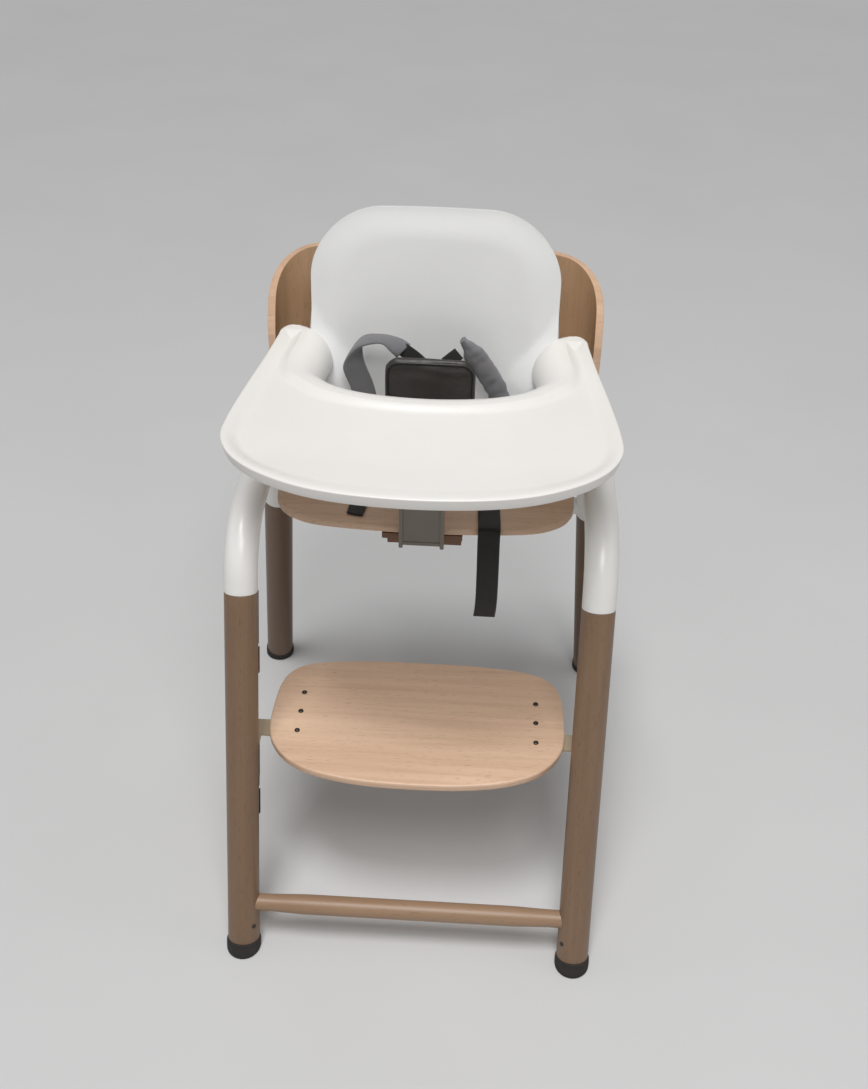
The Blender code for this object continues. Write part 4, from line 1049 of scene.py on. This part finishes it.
def build_post():
    half, back, low, top = POST_HALF, POST_BACK, TONGUE_LOW - 0.0007, 0.6327
    front = back - 0.004
    corners = [((-half + 0.0005, front, low + 0.003), (half - 0.0005, back, top))]
    for side in (-1, 1):
        inner = side * (half - 0.004)
        outer = side * (half + 0.0005)
        near, far = min(inner, outer), max(inner, outer)
        corners.append(((near, front - 0.0015, low), (far, back + 0.003, top - 0.0005)))
    tongue_half = 0.017
    tongue_low = (-tongue_half, back - 0.001, TONGUE_LOW)
    corners.append((tongue_low, (tongue_half, back + 0.030, TONGUE_LOW + 0.004)))
    lip_low, lip_high = low + 0.006, low + 0.0085
    corners.append(((-half + 0.001, front - 0.0009, lip_low), (half - 0.001, front + 0.001, lip_high)))
    post = boxes("ribbed_post", corners, "taupe", 0.0009)
    finish_piece(post, "tray_unit", "grey_plastic", "tray_post")
    top = SEAT_TOP - PLY - 0.0003
    front, back = -0.0785, -0.0335
    slot_low, slot_high = TONGUE_LOW - 0.0003, TONGUE_LOW + 0.0043
    low = slot_low - 0.0002
    reach = tongue_half + 0.0003
    corners = [
        ((-DOCK_HALF, front, slot_high), (DOCK_HALF, back, top)),
        ((-DOCK_HALF, front, low), (-reach, back, slot_high + 0.001)),
        ((reach, front, low), (DOCK_HALF, back, slot_high + 0.001)),
        ((-0.039, front + 0.001, top - 0.014), (0.044, back - 0.004, slot_low)),
        ((-reach - 0.001, -0.0580, slot_low - 0.001), (reach + 0.001, back, slot_high + 0.001)),
    ]
    dock = boxes("stepped_dock", corners, "brown", 0.0010)
    finish_piece(dock, "seat_unit", "brown_plastic", "tray_dock")


# Harness

PUFF = 0.006  # the furthest the padding pushes its cover out
THREAD_STIFFNESS = 22
SLEEVE_ROUND = 0.052
WEBBING_THICKNESS = 0.0016


def cloth_pad(obj, pressure, size=0.0045):
    """Puffs a closed shape out by cloth simulation, and keeps the result as its mesh."""
    remesh = obj.modifiers.new("grain", "REMESH")
    remesh.mode = "VOXEL"
    remesh.voxel_size = size
    apply_modifiers(obj)
    for polygon in obj.data.polygons:
        polygon.use_smooth = True
    cloth = obj.modifiers.new("cloth", "CLOTH")
    cloth.settings.quality = 6
    cloth.settings.mass = 0.15
    cloth.settings.tension_stiffness = THREAD_STIFFNESS
    cloth.settings.compression_stiffness = THREAD_STIFFNESS
    cloth.settings.bending_stiffness = 0.6
    cloth.settings.use_pressure = True
    cloth.settings.uniform_pressure_force = pressure
    cloth.settings.effector_weights.gravity = 0.0
    cloth.collision_settings.use_collision = False
    start = [vertex.co.copy() for vertex in obj.data.vertices]
    for step in range(1, 21):
        bpy.context.scene.frame_set(step)
    apply_modifiers(obj)
    bpy.context.scene.frame_set(1)
    for vertex, before in zip(obj.data.vertices, start):
        move = vertex.co - before
        if move.length > PUFF:
            vertex.co = before + move.normalized() * PUFF
    add_subdivision(obj, 1)


def apply_modifiers(obj):
    graph = bpy.context.evaluated_depsgraph_get()
    graph.update()
    mesh = bpy.data.meshes.new_from_object(obj.evaluated_get(graph))
    obj.modifiers.clear()
    obj.data = mesh


def build_crotch_pad():
    half, low, high, corner = 0.0525, 0.547, 0.6500, 0.016
    y = 0.042
    corners = []
    for sx, sz, start in ((1, 1, 0), (-1, 1, 90), (-1, -1, 180), (1, -1, 270)):
        for step in range(9):
            angle = math.radians(start + 90 * step / 8)
            cx = sx * (half - corner)
            cz = (high - corner) if sz > 0 else (low + corner)
            corners.append(Vector((cx + corner * math.cos(angle), 0.0, cz + corner * math.sin(angle))))
    loop = spaced(corners + corners[:1], 0.004)[:-1]
    middle = Vector((0.0, 0.0, (low + high) / 2))
    rings = []
    levels = ((0.985, -0.0022), (0.945, -0.0050), (0.80, -0.0062), (0.55, -0.0069), (0.25, -0.0071))
    for scale, depth in tuple(reversed(levels)) + tuple((scale, -depth) for scale, depth in levels):
        rings.append([middle + (point - middle) * scale + Vector((0, y + depth, 0)) for point in loop])
    pad = loft("padded_flap", rings, "leather")
    cloth_pad(pad, 3.0)
    for vertex in pad.data.vertices:
        place = vertex.co
        fold = noise.noise(Vector((place.x * 34, 3.1, place.z * 70))) * 0.0009
        crease = math.sin(place.z * 420 + math.sin(place.x * 60) * 1.4) * 0.0008
        near_top = ease((place.z - 0.615) / 0.02)
        vertex.co.y += fold + crease * near_top
    finish_piece(pad, "seat_unit", "dark_leather", "crotch_pad")
    rim = [middle + (point - middle) * 0.93 + Vector((0, y - 0.0062, 0)) for point in loop]
    piping = sweep("flap_piping", rim, 0.0013, "piping", sides=14, closed=True)
    finish_piece(piping, "seat_unit", "dark_leather", "crotch_pad")


SHOULDER_LEFT = (
    (-0.076, 0.086, 0.560),
    (-0.082, 0.082, 0.590),
    (-0.091, 0.078, 0.622),
    (-0.082, 0.076, 0.648),
    (-0.058, 0.072, 0.656),
    (-0.042, 0.069, 0.651),
    (-0.032, 0.068, 0.644),
)
SHOULDER_LEFT_ACROSS = (
    (0.026, 0.004, 0.004),
    (0.026, 0.004, 0.005),
    (0.022, 0.010, 0.008),
    (0.006, 0.024, 0.002),
    (0.002, 0.026, -0.004),
    (0.008, 0.024, 0.004),
    (0.014, 0.018, 0.008),
)


def stuffed_roll(name):
    """The right shoulder pad: a folded, stuffed sleeve that leans in and tapers to a pinched end."""
    path = (
        (0.084, 0.087, 0.555),
        (0.077, 0.084, 0.586),
        (0.063, 0.080, 0.615),
        (0.048, 0.0765, 0.638),
        (0.039, 0.0745, 0.652),
        (0.0345, 0.0735, 0.6585),
    )
    line = smooth_line(path, 16)
    lengths = line_lengths(line)
    total = lengths[-1]
    sides = 44
    rings = []
    for index, point in enumerate(line):
        ahead = heading(line, index)
        face = Vector((-0.10, -1.0, 0.25))
        face = (face - ahead * face.dot(ahead)).normalized()
        across = ahead.cross(face)
        share = lengths[index] / total
        close = 1 - 0.72 * ease((share - 0.74) / 0.26) ** 1.4
        start = 0.25 + 0.75 * ease(share / 0.05)
        wide = 0.0125 * close * start
        deep = 0.0072 * (0.55 + 0.45 * close) * start
        ring = []
        for cosine, sine in circle(sides):
            fold = noise.noise(Vector((share * 13, cosine * 0.9, sine * 0.9 + 4))) * 0.0016
            pinch = 1 - 0.16 * math.exp(-((sine - 0.05) / 0.10) ** 2) * (cosine < 0)
            ring.append(point + across * cosine * (wide * pinch + fold) + face * sine * (deep + fold))
        rings.append(ring)
    obj = loft(name, rings, "pad")

    def spot(vertex):
        ring, side = divmod(vertex, sides)
        turn = side if side <= sides / 2 else sides - side
        return lengths[ring], turn / sides * SLEEVE_ROUND

    lay_uv(obj, spot)
    return obj


def webbing(name, points, across, *nodes, per=12):
    strap = ribbon(name, points, across, WEBBING_THICKNESS, "webbing", per, 10, 0.6)
    finish_piece(strap, "seat_unit", "black_webbing", *nodes)


def build_straps():
    across = SHOULDER_LEFT_ACROSS
    left = ribbon("soft_shoulder_left", SHOULDER_LEFT, across, 0.005, "pad", 10, 12, 0.3, 0.0016)
    finish_piece(left, "seat_unit", "grey_fabric", "shoulder_pad_left")
    right = stuffed_roll("soft_shoulder_right")
    finish_piece(right, "seat_unit", "grey_fabric", "shoulder_pad_right")
    points = ((-0.034, 0.0695, 0.6460), (-0.020, 0.0660, 0.6375), (-0.008, 0.0630, 0.6280))
    webbing("webbing_left", points, [(0.0095, 0.0063, 0.0110)] * 3, per=10)
    points = ((0.031, 0.0715, 0.6420), (0.025, 0.0690, 0.6380), (0.016, 0.0660, 0.6310))
    webbing("webbing_right", points, [(-0.010, 0.005, 0.010)] * 3, per=10)
    over = 0.5061
    face = -0.0806
    x = 0.0745
    points = (
        (x - 0.002, -0.020, over),
        (x - 0.001, -0.050, over),
        (x, face + 0.007, over + 0.0006),
        (x, face + 0.0012, over - 0.0008),
        (x, face - 0.0004, over - 0.006),
        (x, face - 0.0008, over - 0.020),
        (x + 0.0005, face - 0.0015, over - 0.060),
        (x + 0.0005, face - 0.0015, over - 0.100),
        (x - 0.0010, face, over - 0.124),
    )
    webbing("webbing_hanging", points, [(0.025, 0.0, 0.0)] * len(points), "hanging_strap")
    points = ((-0.072, -0.022, over), (-0.0745, -0.042, over), (-0.077, -0.064, over + 0.001))
    across = ((0.020, -0.002, 0.0), (0.020, -0.003, 0.0), (0.018, -0.004, 0.0))
    webbing("webbing_lap", points, across, "lap_strap_end")
    pan_z = 0.5096
    points = (
        (0, 0.030, pan_z + 0.0011),
        (0, 0.039, pan_z + 0.0019),
        (0, 0.043, pan_z + 0.012),
        (0, 0.042, 0.5447),
    )
    webbing("webbing_crotch", points, [(0.030, 0.0, 0.0)] * len(points), "crotch_strap")


def build_buckle():
    middle = 0.610
    corners = [
        ((-0.022, 0.0493, middle - 0.015), (0.022, 0.0578, middle + 0.015)),
        ((-0.019, 0.0540, middle - 0.0125), (-0.0095, 0.0593, middle + 0.0125)),
        ((0.0095, 0.0540, middle - 0.0125), (0.019, 0.0593, middle + 0.0125)),
    ]
    body = boxes("buckle_body", corners, "black", 0.0016, 4)
    finish_piece(body, "seat_unit", "black_plastic", "harness_buckle")
    turn = Matrix.Translation((0.0, 0.0568, middle)) @ Matrix.Rotation(-math.pi / 2, 4, "X")
    profile = [(0.0078, 0.0), (0.0080, 0.0005), (0.0080, 0.0026)]
    profile += [(0.0076, 0.0033), (0.0066, 0.0035), (0.003, 0.0029)]
    button = turned("round_button", profile, turn, "taupe")
    finish_piece(button, "buckle_button", "grey_plastic", "buckle_button")


# What keeps its solid shape and takes a better finish

KEPT = {
    "rail": "aluminium",
    "seat_slider": "black",
    "footrest_slider": "black",
    "seat_lever": "brown",
    "footrest_lever": "black",
    "tray_lever": "taupe",
    "seat_arm": "steel",
    "seat_pan": "steel",
    "footrest_bracket": "cream",
    "stretcher_screw": "dark_steel",
}


def dress_kept_nodes():
    for name in NODES:
        for start, look in KEPT.items():
            if name.startswith(start):
                obj = bpy.data.objects[name]
                chosen = "steel" if name.endswith("_pin") else look
                obj.data.materials.clear()
                obj.data.materials.append(LOOKS[chosen])


# Room

SKY_STRENGTH = 0.24
SUN_STRENGTH = 1.40
SUN_WAY = (0.09, 0.24, -1.0)


def add_room():
    bpy.ops.mesh.primitive_plane_add(size=60, location=(0, 0, -0.0002))
    floor = bpy.context.object
    floor.name = "studio_floor"
    look = Look("studio_floor", 0.75)
    cloud = look.noise(look.coords(), 3.0, 3.0)
    look.colour(look.ramp(cloud, ((0.3, (0.60, 0.60, 0.60)), (0.7, (0.62, 0.62, 0.62)))))
    floor.data.materials.append(look.material)
    world = bpy.data.worlds.new("studio")
    bpy.context.scene.world = world
    bpy.context.scene.view_settings.view_transform = "Standard"
    world.use_nodes = True
    sky = world.node_tree.nodes["Background"]
    sky.inputs["Color"].default_value = (1.0, 1.0, 1.0, 1.0)
    sky.inputs["Strength"].default_value = SKY_STRENGTH
    sun = bpy.data.lights.new("overhead", "SUN")
    sun.energy = SUN_STRENGTH
    sun.angle = math.radians(16.0)
    sun_lamp = bpy.data.objects.new("overhead", sun)
    sun_lamp.rotation_euler = Vector(SUN_WAY).to_track_quat("-Z", "Y").to_euler()
    bpy.context.scene.collection.objects.link(sun_lamp)
    lamps = (
        ("left", (-2.2, 0.1, 1.7), 1.2, 3.0, (0.0, 0.0, 0.45)),
        ("right", (2.3, -0.2, 1.8), 1.2, 4.0, (0.0, 0.0, 0.45)),
        ("front", (0.2, -1.7, 3.0), 1.2, 36.0, (0.0, 0.0, 0.50)),
    )
    for name, place, size, power, target in lamps:
        data = bpy.data.lights.new(name, "AREA")
        data.shape = "DISK"
        data.size = size
        data.energy = power
        lamp = bpy.data.objects.new(name, data)
        lamp.location = place
        aim = Vector(target) - Vector(place)
        lamp.rotation_euler = aim.to_track_quat("-Z", "Y").to_euler()
        bpy.context.scene.collection.objects.link(lamp)


build_frame()
build_plates()
build_wood_back()
build_shell()
build_tray()
build_post()
build_crotch_pad()
build_straps()
build_buckle()
dress_kept_nodes()
add_room()
